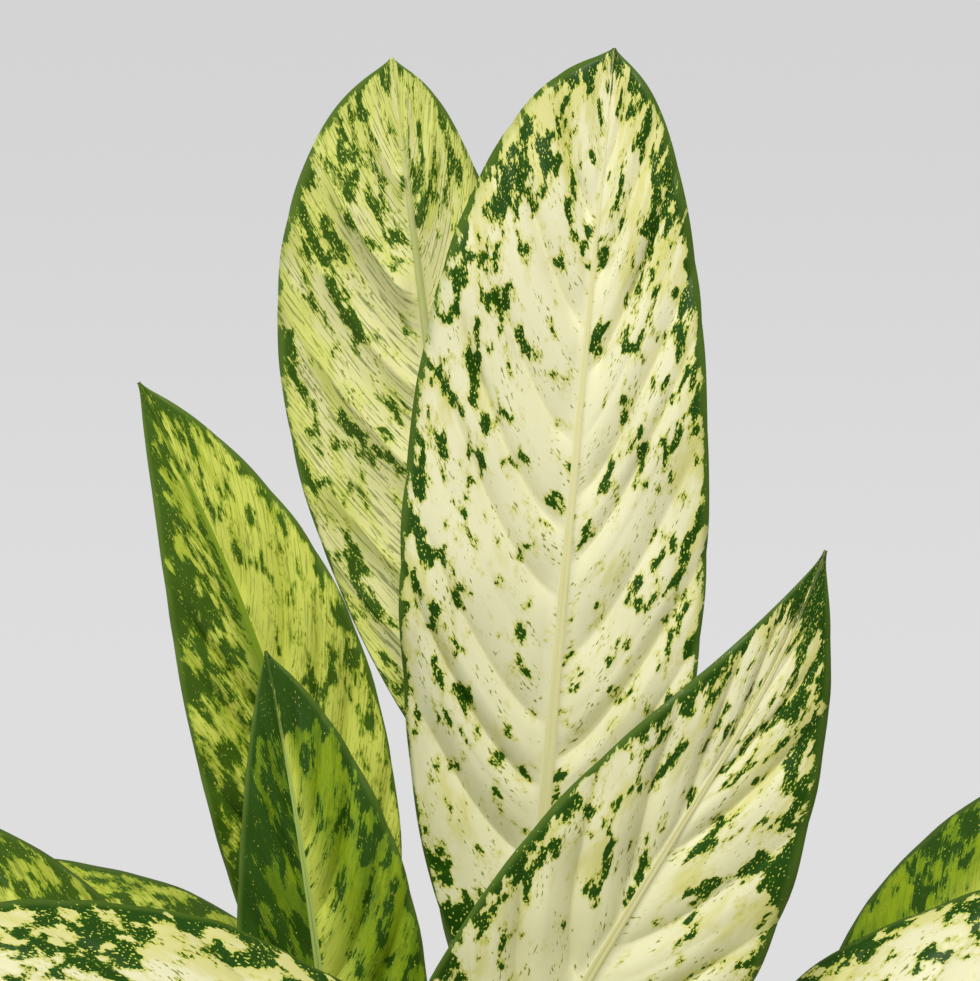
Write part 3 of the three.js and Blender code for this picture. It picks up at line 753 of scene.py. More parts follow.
    # Fine dark lines run side by side along the veins, and come and go: the fine veins' own darker
    # green with painted shade beside them.
    drift = n.noise(n.scaled(along, out, *PATTERN.vein_drift, 12.0), detail=2, rough=0.5)
    place = n.plus(n.times(along, 1 / PATTERN.vein_step), n.times(drift, 4.0))
    beside = n.math("ABSOLUTE", n.plus(n.math("FRACT", place), -0.5))
    here = n.noise(n.scaled(along, out, *PATTERN.vein_here, 15.0), detail=2, rough=0.6)
    vein_lines_and_shade = n.times(n.step(beside, 0.07, 0.24, look.lines, 0.0), n.step(here, 0.42, 0.54))
    vein_lines_and_shade = n.times(vein_lines_and_shade, n.step(width_share, 0.0, 0.1))
    base = n.mix(n.times(vein_lines_and_shade, 1.0 if under else 0.6), base, tone["shade"])

    # The midrib stays pale, and the very edge of the blade is a thin light line.
    on_rib = n.step(width_share, -0.12, -0.02, 1.0, 0.0)
    fibre = n.noise(
        n.scaled(width_share, length_share, *PATTERN.fibre, 14.0), detail=3, rough=0.6)
    rib_tone = n.mix(n.step(fibre, 0.45, 0.75, 0.0, 0.35), tone[look.rib], tone["halo"])
    rib_share = n.step(length_share, 0.75, 0.95, 1.0, 0.1)
    base = n.mix(n.times(on_rib, rib_share), base, rib_tone)
    base = n.mix(n.step(width_share, 0.93, 1.0, 0.0, 0.38), base, tone["edge"])

    if under:
        base = n.mix(0.13, base, tone["lime"])
        surface_rough = n.step(grain, 0.2, 0.8, 0.46, 0.62)
        normal = n.bump(n.plus(grain, vein_lines_and_shade), 0.0002, 0.6)
    else:
        surface_rough = n.step(grain, 0.2, 0.8, 0.34, 0.48)
        normal = n.bump(n.plus(n.times(grain, 0.6), n.times(ragged, 0.4)), 0.00008, 0.5)
    n.finish(n.principled(
        Base_Color=base, Roughness=surface_rough, Normal=normal, IOR=1.45,
        Specular_IOR_Level=0.2 if under else look.gloss))
    return made


# ---- leaf shapes -------------------------------------------------------------------------------


def between_ends(t):
    """From 0 at the blade's base and tip to 1 halfway."""
    return np.sqrt(np.maximum(0, np.sin(math.pi * t)))


class Blade:
    """A leaf's blade, worked out for many points at once, in millimetres."""

    def __init__(self, leaf):
        self.leaf = leaf
        base, tip = np.array(leaf.base, float), np.array(leaf.tip, float)
        chord = unit(tip - base)
        self.face = direction(*leaf.face)
        self.up = unit(self.face - self.face @ chord * chord)
        self.sideways = np.cross(chord, self.up)
        tip = tip - self.sideways * leaf.hook
        middle = (base + tip) / 2 + self.up * 2 * leaf.bow + self.sideways * 2 * leaf.sway
        self.controls = (base, middle, tip)
        line = bezier(self.controls, np.linspace(0, 1, BLADE.length_steps))
        self.length = float(np.linalg.norm(np.diff(line, axis=0), axis=1).sum())

    def middle(self, t):
        """The midrib's point at t."""
        hooked = np.maximum(0, t - BLADE.hook_from) / (1 - BLADE.hook_from)
        return bezier(self.controls, t) + self.sideways * (self.leaf.hook * hooked**2)[:, None]

    def axes(self, t):
        """The directions along the midrib, of the upper side and to the right, at t."""
        step = BLADE.slope_step
        along = unit(self.middle(np.minimum(1, t + step)) - self.middle(np.maximum(0, t - step)))
        normal = unit(self.face - (along @ self.face)[:, None] * along)
        return along, normal, np.cross(along, normal)

    def half_width(self, t, which):
        """The width of the left half, where which is -1, or the right one, where it is 1."""
        leaf = self.leaf
        below = t < leaf.peak
        x = np.where(below, (leaf.peak - t) / leaf.peak, (t - leaf.peak) / (1 - leaf.peak))
        power = np.where(below, leaf.base_power, leaf.tip_power)
        point = 1 - np.exp(-(1 - t) / BLADE.tip_point)
        share_of = np.maximum(0, 1 - x * x) ** power * point
        even = 1 - which * lerp(*leaf.skew, t)
        end = lerp(BLADE.rib_half, BLADE.tip_half, t)
        return end + (leaf.width / 2 * even - end) * share_of

    def point(self, t, out):
        """A point of the blade's middle surface: t along the midrib, out across it, signed."""
        leaf = self.leaf
        _, normal, side = self.axes(t)
        half = self.half_width(t, np.sign(out))
        share_out = np.abs(out) / half
        turns = 2 * math.pi * leaf.waves * t + np.where(out > 0, BLADE.wave_shift, 0)
        wave = leaf.wave * np.sin(turns) * share_out**2 * between_ends(t)
        fold = math.radians(leaf.fold)
        lift = np.abs(out) * math.sin(fold) - leaf.camber * half * share_out**2 + wave
        return (self.middle(t) + side * (out * math.cos(fold))[:, None]
                + normal * lift[:, None])

    def normal(self, t, out):
        """The direction of the upper side at such a point."""
        step, aside = BLADE.slope_step, BLADE.side_step
        ahead = self.point(np.minimum(1, t + step), out)
        along = ahead - self.point(np.maximum(0, t - step), out)
        across = self.point(t, out + aside) - self.point(t, out - aside)
        return unit(np.cross(across, along))


def rib_taper(start, end, t):
    """A size of the midrib at t, from its size at the base to that at the tip."""
    return lerp(start, end, t**BLADE.rib_taper)


def margin_at(q):
    """Where along the blade a side vein that starts at q reaches the margin."""
    set_in = 1 - np.exp(-q / BLADE.vein_sweep_start)
    return lerp(q, 1 - (1 - BLADE.vein_first) * (1 - q) ** BLADE.vein_sweep, set_in)


def blade_grid(blade, sizes, rhythm):
    """The rows and columns of a blade's mesh: the rows' places along the midrib, and for each
    column its half, -1, 0 or 1, its share of the midrib, and its share from there to the margin.

    Rows stand closer together at the side veins, which the two halves have in turn.
    """
    rows = max(BLADE.fewest_rows, round(blade.length / (sizes.row_step / MM)))
    even = np.linspace(0, 1, rows + 1)
    q = lerp(even, (1 - np.cos(math.pi * even)) / 2, BLADE.row_bunching)
    turns = 2 * rhythm(q)
    slope = np.gradient(turns, q)
    slope = np.maximum(slope, BLADE.least_slope * np.median(slope))
    fade = np.clip(np.minimum(q, 1 - q) / BLADE.row_fade, 0, 1)
    q = q - fade * BLADE.crease_bunching * np.sin(2 * math.pi * turns) / (2 * math.pi * slope)
    outside = np.linspace(0, 1, sizes.columns) ** BLADE.column_power
    half = [(s, 0.0) for s in BLADE.rib_columns] + [(1.0, s) for s in outside]
    columns = [(-1, r, s) for r, s in reversed(half)] + [(0, 0.0, 0.0)]
    columns += [(1, r, s) for r, s in half]
    return q, np.array(columns)


def sheet_faces(rows, wide):
    """Faces of a closed sheet between two grids, and their slots: 1 below, and otherwise 0."""
    count = rows * wide
    left, foot = np.arange(rows - 1) * wide, np.arange(wide - 1)
    right, top = left + wide - 1, foot + (rows - 1) * wide
    faces = [
        grid_faces(rows, wide),
        grid_faces(rows, wide, count, flip=True),
        np.stack([left, left + wide, count + left + wide, count + left], -1),
        np.stack([right, count + right, count + right + wide, right + wide], -1),
        np.stack([foot, count + foot, count + foot + 1, foot + 1], -1),
        np.stack([top, top + 1, count + top + 1, count + top], -1),
    ]
    slots = [np.full(len(f), int(index == 1)) for index, f in enumerate(faces)]
    return np.concatenate(faces), np.concatenate(slots)


def leaf_piece(leaf, sizes, materials):
    """A leaf blade as one closed mesh that follows its node of the frame."""
    blade = Blade(leaf)
    rng = np.random.default_rng(leaf.seed + BLADE.seed)
    veins = max(BLADE.fewest_veins, round(blade.length / (sizes.vein_spacing / MM)))
    uneven = waves(rng, *PLEAT.uneven_waves)

    def rhythm(q):
        """Grows by 1 from each side vein to the next."""
        return veins * q + PLEAT.uneven * uneven(q, 0)

    q, columns = blade_grid(blade, sizes, rhythm)
    which, rib_part, part = (column[None, :] for column in columns.T)
    q = q[:, None]
    shape = np.broadcast_shapes(q.shape, which.shape)

    # A side vein stands where the phase is a whole number. Three rows of strengths are drawn, for
    # the left half, the midrib, which has no use for them, and the right half. crown is 0 at a
    # vein and 1 halfway to the next, and lesser is the same for the weaker veins between them.
    phase = rhythm(q) + np.where(which > 0, 0.5, 0.0)
    left, _, right = rng.uniform(*PLEAT.strengths, (3, veins + 4))
    nearest = np.clip(np.rint(phase).astype(int) + 1, 0, veins + 3)
    strong = np.where(which < 0, left[nearest], right[nearest])
    crown = np.abs(np.sin(math.pi * phase)) ** PLEAT.sharp
    doubled = 2 * math.pi * phase + PLEAT.lesser_shift * uneven(q * 3, which)
    lesser = np.abs(np.sin(doubled)) ** PLEAT.sharp

    # Each point's place: out across the blade, and t along it, which follows the veins' sweep.
    end = margin_at(q)
    reach = np.where(which < 0, blade.half_width(end, -1), blade.half_width(end, 1))
    scallop = PLEAT.scallop * leaf.pleats * (crown - PLEAT.scallop_mean)
    reach = reach * (1 + scallop * between_ends(end))
    rib = np.minimum(rib_taper(BLADE.rib_half, BLADE.rib_half_tip, q), reach * BLADE.rib_share)
    out = which * (rib * rib_part + (reach - rib) * part)
    t = q + (end - q) * (np.abs(out) / reach) ** BLADE.vein_bend

    # A point on the midrib counts as one of the right half.
    flat_t, flat_out = t.ravel(), np.where(out == 0, 1e-9, out).ravel()
    middle = blade.point(flat_t, flat_out).reshape(*shape, 3)
    normal = blade.normal(flat_t, flat_out).reshape(*shape, 3)

    # Relief: veins sink into the upper side and stand out below, and the margin ripples.
    inner = smooth(0.0, PLEAT.begins, part) * (
        1 - PLEAT.fades_by * smooth(PLEAT.fades_from, 1.0, part))
    room = np.clip(reach / PLEAT.full_half, 0, 1)
    deeper = 1 + PLEAT.deeper * smooth(*PLEAT.deeper_from, q)
    pleat = PLEAT.lift - strong * (1 - crown) - PLEAT.lesser * (1 - lesser)
    relief = sizes.relief / MM * leaf.pleats * deeper * pleat * inner * room
    billow = waves(rng, *PLEAT.billow_waves)(t * blade.length, out)
    relief += PLEAT.billow * leaf.pleats * billow * smooth(*PLEAT.billow_begins, part) * room
    ripples = np.where(which < 0, *rng.uniform(*PLEAT.ripples, 2))
    fringe = np.sin(2 * math.pi * ripples * t + np.where(which < 0, *rng.uniform(0, 6, 2)))
    ends = between_ends(np.clip(t, 0, 1))
    relief += sizes.ripple / MM * leaf.pleats * fringe * part**4 * ends
    surface = middle + normal * relief[..., None]

    # Thickness: thin at the margin, a low band above the midrib and a round ridge below it.
    thin = smooth(BLADE.thin_from, 1.0, part)
    thick = lerp(sizes.thickness / MM, sizes.margin / MM, thin) / 2
    on_rib = np.where(part > 0, 0.0, np.sqrt(np.maximum(0, 1 - rib_part**2)))
    rib_size = rib / BLADE.rib_half
    beside = (rib_part + part * 4 - BLADE.groove_at) / BLADE.groove_wide
    groove = np.exp(-(beside**2)) * BLADE.groove_deep * rib_size
    above = thick + (sizes.rib_height / MM) * on_rib * rib_size**0.5 - groove
    below = thick + rib_taper(BLADE.rib_deep, BLADE.rib_deep_tip, t) * on_rib**1.5
    upper = surface + normal * above[..., None]
    lower = surface - normal * below[..., None]

    # Maps: run is the way out along a point's vein. The two sides of the blade share each map
    # but the layout for baking.
    steps = np.linalg.norm(np.diff(middle, axis=1), axis=-1)
    walked = np.concatenate([np.zeros((shape[0], 1)), np.cumsum(steps, axis=1)], axis=1)
    centre = shape[1] // 2
    run = walked - walked[:, centre:centre + 1]
    run = run + np.where(which < 0, -MAPS.halves, MAPS.halves) + leaf.seed * MAPS.out_each
    start = leaf.seed * MAPS.along_each
    across = 0.5 + out / (MAPS.bake_spread * leaf.width)

    def pairs(first, second):
        both = np.broadcast_arrays(first, second, middle[..., 0])[:2]
        return np.stack(both, -1).reshape(-1, 2)

    # LeafMix carries each half's green, which on the shaded left halves of two leaves is painted
    # shade.
    maps = {
        "VeinUV": pairs(q * blade.length + start, run),
        "PatchUV": pairs(lerp(q, t, MAPS.patch_sweep) * blade.length + start, run),
        "LeafUV": pairs(t, np.where(rib_part < 1, rib_part - 1.0, part)),
        "LeafMix": pairs(np.where(which < 0, *leaf.green), rng.uniform(-0.5, 0.5)),
    }
    bake = [pairs(edge + MAPS.bake_wide * across, MAPS.bake_foot + MAPS.bake_tall * t)
            for edge in MAPS.bake_edges]
    maps = {"OFBake": np.concatenate(bake),
            **{name: np.concatenate([values] * 2) for name, values in maps.items()}}

    points = np.concatenate([upper.reshape(-1, 3), lower.reshape(-1, 3)])
    faces, slots = sheet_faces(*shape)
    piece = new_object(f"{leaf.name}_blade", points, faces, maps, slots)
    slot = "leaf_cream" if LOOKS[leaf.look].ground == "cream" else "leaf_green"
    put(piece, f"leaf_{leaf.name}", slot, *materials)


# ---- stems -------------------------------------------------------------------------------------


def stem_controls(name):
    """The control points of a cane's middle line."""
    foot, top = STEMS[name]
    return ((*foot, SOIL_TOP - STEM.depth_in_soil), (*foot, SOIL_TOP + STEM.straight), top)


def rings_along(points, alongs, ups, wide, deep, section):
    """Rings of points about a line. section is each side's angle and its share of the radius."""
    ups = unit(ups - np.sum(ups * alongs, -1, keepdims=True) * alongs)
    across = np.cross(alongs, ups)
    angles, shares_of = section
    sides = across[:, None] * (-wide[:, None] * np.cos(angles) * shares_of)[..., None]
    rises = ups[:, None] * (deep[:, None] * np.sin(angles) * shares_of)[..., None]
    return points[:, None] + sides + rises


def tube_maps(rings, start):
    """StemUV for a tube: round it and along it, in millimetres."""
    count, sides = rings.shape[:2]
    centres = rings.mean(axis=1)
    walked = np.r_[0, np.cumsum(np.linalg.norm(np.diff(centres, axis=0), axis=1))]
    size = np.linalg.norm(rings - centres[:, None], axis=2).mean(axis=1)
    angles = np.broadcast_to(angles_round(sides), (count, sides))
    along = np.broadcast_to(walked[:, None], (count, sides))
    return np.stack([angles * size.mean() + start, along + start], -1).reshape(-1, 2)


def cane_radius(t):
    """A cane's radius, but for its scars."""
    return lerp(STEM.radius, STEM.top_radius, t)


def cane_rings(name, t, radius):
    """Rings of points round a cane at the shares t of its height."""
    controls = stem_controls(name)
    ups = np.broadcast_to((0.0, 1.0, 0.0), (len(t), 3))
    section = angles_round(STEM.sides), np.ones((len(t), STEM.sides))
    return rings_along(
        bezier(controls, t), bezier_slope(controls, t), ups, radius, radius, section)


def cane(name):
    """A cane, ringed by the scars of old leaves: each is a ridge with a dip above it."""
    t = np.linspace(0, 1, STEM.steps)
    radius = cane_radius(t)
    rng = np.random.default_rng(len(name))
    scars = np.arange(SCAR.first, 1.0, SCAR.step)
    for at in scars + rng.uniform(-SCAR.uneven, SCAR.uneven, len(scars)):
        ridge = SCAR.ridge * np.exp(-((t - at) / SCAR.ridge_wide) ** 2)
        dip = SCAR.dip * np.exp(-((t - at - SCAR.dip_after) / SCAR.dip_wide) ** 2)
        radius = radius + ridge - dip
    rings = cane_rings(name, t, radius)
    return new_object(f"cane_{name}", *tube(rings), {"StemUV": tube_maps(rings, 0)})


def stalk(leaf):
    """A leaf stalk: a sheath at the cane that narrows to the neck under the blade's base."""
    blade = Blade(leaf)
    controls = stem_controls(leaf.stem)
    start, rise = bezier(controls, leaf.node)[0], bezier_slope(controls, leaf.node)[0]
    along, normal, _ = (a[0] for a in blade.axes(np.zeros(1)))
    end = blade.middle(np.zeros(1))[0] - along * GAP - normal * STALK.below
    reach = np.linalg.norm(end - start)
    into = unit(along + np.array((0, 0, STALK.steeper)))
    curve = (start, start + rise * reach * STALK.rise, end - into * reach * STALK.lead, end)
    t = np.linspace(0, 1, STALK.steps)
    bent = smooth(STALK.turn_from, 1, t)[:, None]
    alongs = unit(lerp(bezier_slope(curve, t), along, bent))

    def size(axis):
        places = (0, STALK.sheath_share, 1)
        return np.interp(t, places, (STALK.sheath[axis], STALK.stalk[axis], STALK.neck[axis]))

    # A channel runs along the upper side, open and wide in the sheath, and shallow above it.
    angles = angles_round(STALK.sides)
    from_top = angles - math.pi / 2
    channel = np.exp(-((from_top / STALK.channel_wide) ** 2))
    depth = lerp(*STALK.channel, smooth(*STALK.channel_shallows, t))[:, None]
    wings = np.exp(-(((np.abs(from_top) - STALK.wing_at) / STALK.wing_wide) ** 2))
    height = STALK.wing * (1 - smooth(*STALK.wing_ends, t))[:, None]
    shares_of = 1 - depth * channel + height * wings
    ups = np.broadcast_to(normal, alongs.shape)
    rings = rings_along(bezier(curve, t), alongs, ups, size(0), size(1), (angles, shares_of))
    maps = {"StemUV": tube_maps(rings, STALK.map_start + leaf.seed * STALK.map_each)}
    return new_object(f"stalk_{leaf.name}", *tube(rings), maps)


def stem_material():
    """Green canes and stalks, streaked along, with brown rings on the canes."""
    colours = bpy.context.scene.plant_stem_colours
    tone = {key: tuple(getattr(colours, key)) for key in StemColours.__annotations__}
    made, n = material("stem_skin")
    around, along = n.map("StemUV")
    is_stalk = n.step(along, STALK.map_start - 100, STALK.map_start - 10)
    streak = n.noise(n.scaled(around, along, 1.1, 22, 1.0), detail=3, rough=0.65)
    mottle = n.noise(n.scaled(around, along, 3.5, 8, 2.0), detail=3, rough=0.6)
    stalk_tone = n.mix(n.step(streak, 0.42, 0.66), tone["stalk"], tone["stalk_pale"])
    stalk_tone = n.mix(n.step(mottle, 0.56, 0.62, 0.0, 0.6), stalk_tone, tone["cane"])
    cane_tone = n.mix(n.step(streak, 0.4, 0.7, 0.0, 0.6), tone["cane"], tone["stalk"])
    cane_tone = n.mix(n.step(mottle, 0.55, 0.60, 0.0, 0.7), cane_tone, tone["scar"])
    base = n.mix(is_stalk, cane_tone, stalk_tone)
    rough = n.step(mottle, 0.3, 0.7, 0.38, 0.56)
    n.finish(n.principled(
        Base_Color=base, Roughness=rough, Normal=n.bump(streak, 0.00015, 0.5), IOR=1.45))
    return made


def stem_piece(name, skin):
    """A cane with its leaf stalks grown on, as one closed mesh."""
    stalks = [stalk(leaf) for leaf in LEAVES.values() if leaf.stem == name]
    piece = combined(cane(name), stalks, "UNION", f"stem_{name}_grown")
    soften(piece, STEM.sharp_from)
    put(piece, f"stem_{name}", "stem", skin)


# ---- pot and soil ------------------------------------------------------------------------------


def pot_outer(z):
    """The pot's radius outside, at the height z, but for the collar."""
    return lerp(POT.foot_radius, POT.rim_radius, z / POT.height)


def pot_inner(z):
    """The pot's radius inside."""
    return pot_outer(z) - POT.wall


def arc(x, z, radius, start, end, steps):
    """Points of an arc of a profile round (x, z), its ends in degrees."""
    a = np.radians(np.linspace(start, end, steps + 1))
    return np.c_[x + radius * np.cos(a), z + radius * np.sin(a)]


def pot_profile():
    """The turned outline of the pot, from the underside's middle round to the floor's middle."""
    lean = math.degrees(math.atan2(POT.rim_radius - POT.foot_radius, POT.height))
    rim_out = pot_outer(POT.height) + POT.rim_band_out
    band = POT.height - POT.rim_band
    out, lip = POT.rim_band_out, POT.lip
    step_from, step_to = pot_outer(band - out), pot_outer(band) + out
    rise = np.linspace(0, 1, 7)[:, None]
    step = np.c_[lerp(step_from, step_to, smooth(0, 1, rise)), lerp(band - out, band, rise)]
    inside = np.linspace(POT.height - lip, POT.floor + POT.cove, 8)[1:]
    centre = pot_inner(POT.floor + POT.cove) - POT.cove
    wall = np.linspace(POT.foot_round, band - out, 10)[1:-1]
    return np.concatenate([
        [(0.0, 0.0)],
        arc(pot_outer(POT.foot_round) - POT.foot_round, POT.foot_round, POT.foot_round, -90,
            -lean, 8),
        np.c_[pot_outer(wall), wall],
        step,
        arc(rim_out - lip, POT.height - lip, lip, 0, 90, 6),
        arc(pot_inner(POT.height) + lip, POT.height - lip, lip, 90, 180, 6),
        np.c_[pot_inner(inside), inside],
        arc(centre, POT.floor + POT.cove, POT.cove, 0, -90, 6)[1:],
        [(0.0, float(POT.floor))],
    ])


def turned(name, profile, sides):
    """A closed lathe shape from a profile that starts and ends on the axis."""
    inner = profile[1:-1]
    heights = np.broadcast_to(inner[:, None, 1:], (len(inner), sides, 1))
    body = np.concatenate([inner[:, None, :1] * circle(sides)[None], heights], -1)
    points = np.concatenate([
        body.reshape(-1, 3), [(0, 0, profile[0][1]), (0, 0, profile[-1][1])]])
    faces = grid_faces(len(inner), sides, wrap=True).tolist()
    low, high, last = len(points) - 2, len(points) - 1, (len(inner) - 1) * sides
    for s in range(sides):
        after = (s + 1) % sides
        faces.append([low, after, s])
        faces.append([high, last + s, last + after])
    return new_object(name, points, faces)


def pot_material():
    """A matt glaze, slightly uneven, thinner at the foot and the rim."""
    pot = bpy.context.scene.plant_pot
    made, n = material("pot_glaze")
    place = n.add("ShaderNodeTexCoord").outputs["Object"]
    height = n.add("ShaderNodeSeparateXYZ", place).outputs[2]
    cloud = n.noise(place, 14, 3, 0.55)
    pores = n.noise(place, 900, 2, 0.6)
    rings = n.noise(n.point(0.0, 0.0, n.times(height, 260)), 1.0, 3, 0.6)
    worn = n.plus(
        n.step(height, 0.0, POT.worn_foot * MM, 0.75, 0.0),
        n.step(height, (POT.height - POT.worn_rim) * MM, POT.height * MM, 0.0, 0.45),
        n.step(pores, 0.66, 0.74, 0.0, 0.5),
        n.step(cloud, 0.45, 0.75, 0.0, 0.22))
    base = n.mix(n.math("MINIMUM", worn, 1.0), tuple(pot.glaze), tuple(pot.clay))
    relief = n.plus(n.times(rings, 0.5), n.times(pores, 0.25), n.times(cloud, 0.6))
    n.finish(n.principled(
        Base_Color=base, Roughness=n.step(cloud, 0.3, 0.7, 0.42, 0.58),
        Normal=n.bump(relief, 0.0004, 0.35), IOR=1.5))
    return made


def crumb_height(x, y):
    """The broad crumbs of the surface, as the frame's soil has them."""
    coarse = np.sin(x * SOIL.coarse[0]) * np.cos(y * SOIL.coarse[1])
    fine = np.sin(x * SOIL.fine[0]) * np.sin(y * SOIL.fine[1])
    return SOIL.crumb * lerp(fine, coarse, SOIL.coarse_share)


def soil_height(x, y, lumps):
    """The soil's surface at a point: crumbs, finer lumps, and a fall at the wall."""
    edge = pot_inner(SOIL_TOP) - GAP
    drop = SOIL.edge_drop * smooth(SOIL.drop_from, 1.0, np.hypot(x, y) / edge)
    return SOIL_TOP - drop + crumb_height(x, y) + sum(w(x, y) * size for w, size in lumps)


def soil_crumbs(pot, rng, lumps):
    """Points and faces of the loose crumbs, each a rough ball half sunk in the surface."""
    ball_points, ball_faces = ball()
    points, faces, kinds = [], [], []
    edge = pot_inner(SOIL_TOP) - GAP
    while len(kinds) < pot.crumbs:
        x, y = rng.uniform(-edge, edge, 2)
        size = pot.crumb / MM * rng.lognormal(0, CRUMB.spread)
        beside = [math.hypot(x - foot[0], y - foot[1]) for foot, _ in STEMS.values()]
        off_wall = math.hypot(x, y) + size <= edge - CRUMB.off_wall
        if not off_wall or min(beside) < STEM.radius + size:
            continue
        stretch = rng.uniform(*CRUMB.stretch, 3) * CRUMB.flat
        spin = rng.uniform(0, 2 * math.pi)
        uneven = rng.uniform(-CRUMB.rough, CRUMB.rough, (len(ball_points), 1))
        rough = ball_points * (1 + uneven) * stretch * size
        c, s = math.cos(spin), math.sin(spin)
        rough = rough @ np.array([(c, s, 0), (-s, c, 0), (0, 0, 1)])
        z = soil_height(np.array(x), np.array(y), lumps)
        faces += (ball_faces + len(points) * len(ball_points)).tolist()
        points.append(rough + (x, y, float(z) + size * CRUMB.rise))
        kinds.append(rng.uniform())
    return np.concatenate(points), faces, np.repeat(kinds, len(ball_points))


def ball():
    """Points and faces of a ball of 42 points."""
    mesh = bpy.data.meshes.new("ball")
    made = bmesh.new()
    bmesh.ops.create_icosphere(made, subdivisions=2, radius=1)
    made.to_mesh(mesh)
    made.free()
    points = np.array([v.co for v in mesh.vertices])
    faces = np.array([list(p.vertices) for p in mesh.polygons])
    bpy.data.meshes.remove(mesh)
    return points, faces


def soil_material():
    """Dark, damp potting soil with drier crumbs and fibres."""
    pot = bpy.context.scene.plant_pot
    made, n = material("potting_soil_mix")
    place = n.add("ShaderNodeTexCoord").outputs["Object"]
    kind, _ = n.map("CrumbUV")
    clods = n.noise(place, 160, 4, 0.7)
    grit = n.noise(place, 1200, 3, 0.7)
    dry = n.plus(n.times(clods, 0.6), n.times(grit, 0.3), n.times(kind, 0.35))
    base = n.mix(n.step(dry, 0.48, 0.86), tuple(pot.soil), tuple(pot.soil_dry))
    n.finish(n.principled(
        Base_Color=base, Roughness=n.step(clods, 0.3, 0.7, 0.75, 0.97),
        Normal=n.bump(grit, 0.0006, 0.8)))
    return made


def soil_piece(pot, skin):
    """The soil as one solid with a hole for each stem, and the loose crumbs on it."""
    rng = np.random.default_rng(SOIL.seed)
    lumps = [(waves(rng, *kind), height) for *kind, height in SOIL.lumps]
    edge = pot_inner(SOIL_TOP - SOIL.crumb - SOIL.edge_drop) - GAP
    foot = POT.floor + GAP
    round_it = circle(SOIL.sides)
    levels = [np.c_[round_it * radius, np.full(SOIL.sides, z)] for radius, z in (
        (pot_inner(foot) - POT.cove - GAP, foot),
        (pot_inner(foot + POT.cove) - GAP, foot + POT.cove))]
    for radius in np.linspace(edge, edge / SOIL.rings, SOIL.rings):
        x, y = (round_it * radius).T
        levels.append(np.c_[x, y, soil_height(x, y, lumps)])
    points, faces = tube(levels)
    soil = new_object("soil", points, faces, {"CrumbUV": np.zeros((len(points), 2))})
    t = np.linspace(0, 1, STEM.hole_steps)
    plugs = [new_object(f"hole_{name}", *tube(cane_rings(name, t, cane_radius(t) + GAP)))
             for name in STEMS]
    soil = combined(soil, plugs, "DIFFERENCE", "soil_bed")
    soften(soil, SOIL.sharp_from)
    put(soil, "potting_soil", "soil", skin)

    points, faces, kinds = soil_crumbs(pot, rng, lumps)
    crumbs = new_object(
        "soil_crumbs", points, faces, {"CrumbUV": np.c_[kinds, kinds]}, smooth_faces=False)
    crumbs.data.materials.append(skin)
    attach(crumbs, "root")


def pot_piece(pot, skin):
    """The turned pot with its drain holes."""
    piece = turned("pot_turned", pot_profile(), pot.sides)
    drills = []
    for i in range(POT.drain_holes):
        a = 2 * math.pi * (i + 0.5) / POT.drain_holes
        middle = np.array((math.cos(a), math.sin(a))) * POT.drain_circle
        hole = middle + circle(POT.drain_sides) * POT.drain_radius
        rings = [np.c_[hole, np.full(POT.drain_sides, z)] for z in (-POT.floor, POT.floor * 2.0)]
        drills.append(new_object(f"drill_{i}", *tube(rings)))
    piece = combined(piece, drills, "DIFFERENCE", "pot_turned")
    soften(piece, POT.sharp_from)
    put(piece, "pot", "pot", skin)


# ---- stage -------------------------------------------------------------------------------------

# Where each light stands from the point that the camera looks at, its size, and its tint.
LIGHTS = {
    "key": SimpleNamespace(place=(-0.15, -1.25, 1.6), size=0.8, tint=(1.0, 0.98, 0.93)),
    "fill": SimpleNamespace(place=(-1.7, -0.8, 0.3), size=1.4, tint=(1.0, 1.0, 1.0)),
}
# The floor: its sides, the scale, tone and share of its grain, and where it fades to nothing.
FLOOR = SimpleNamespace(
    sides=96, grain=300, grain_tone=(190, 190, 190), grain_share=0.03, fades=(0.45, 0.98))
HORIZON_FADE = 0.13


def make_camera(scene, stage, aim):
    """The camera, which looks along +Y and a little down."""
    lens = bpy.data.cameras.new("camera")
    lens.lens = lens.sensor_width * stage.distance / stage.seen
    camera = bpy.data.objects.new("camera", lens)
    scene.collection.objects.link(camera)
    tilt = stage.elevation
    camera.location = aim + Vector((0, -math.cos(tilt), math.sin(tilt))) * stage.distance
    camera.rotation_euler = (math.pi / 2 - tilt, 0, 0)
    scene.camera = camera


def make_world(scene, stage):
    """A pale grey all round, a little lighter below the horizon."""
    world = bpy.data.worlds.new("studio")
    scene.world = world
    n = Nodes(world)
    way = n.add("ShaderNodeTexCoord").outputs["Generated"]
    up = n.add("ShaderNodeSeparateXYZ", way).outputs[2]
    grey = n.mix(n.step(up, -HORIZON_FADE, 0.0), tuple(stage.low), tuple(stage.high))
    seen = n.add("ShaderNodeLightPath").outputs["Is Camera Ray"]
    background = n.add("ShaderNodeBackground", grey, n.step(seen, 0.0, 1.0, stage.ambient, 1.0))
    n.add("ShaderNodeOutputWorld", background.outputs[0])


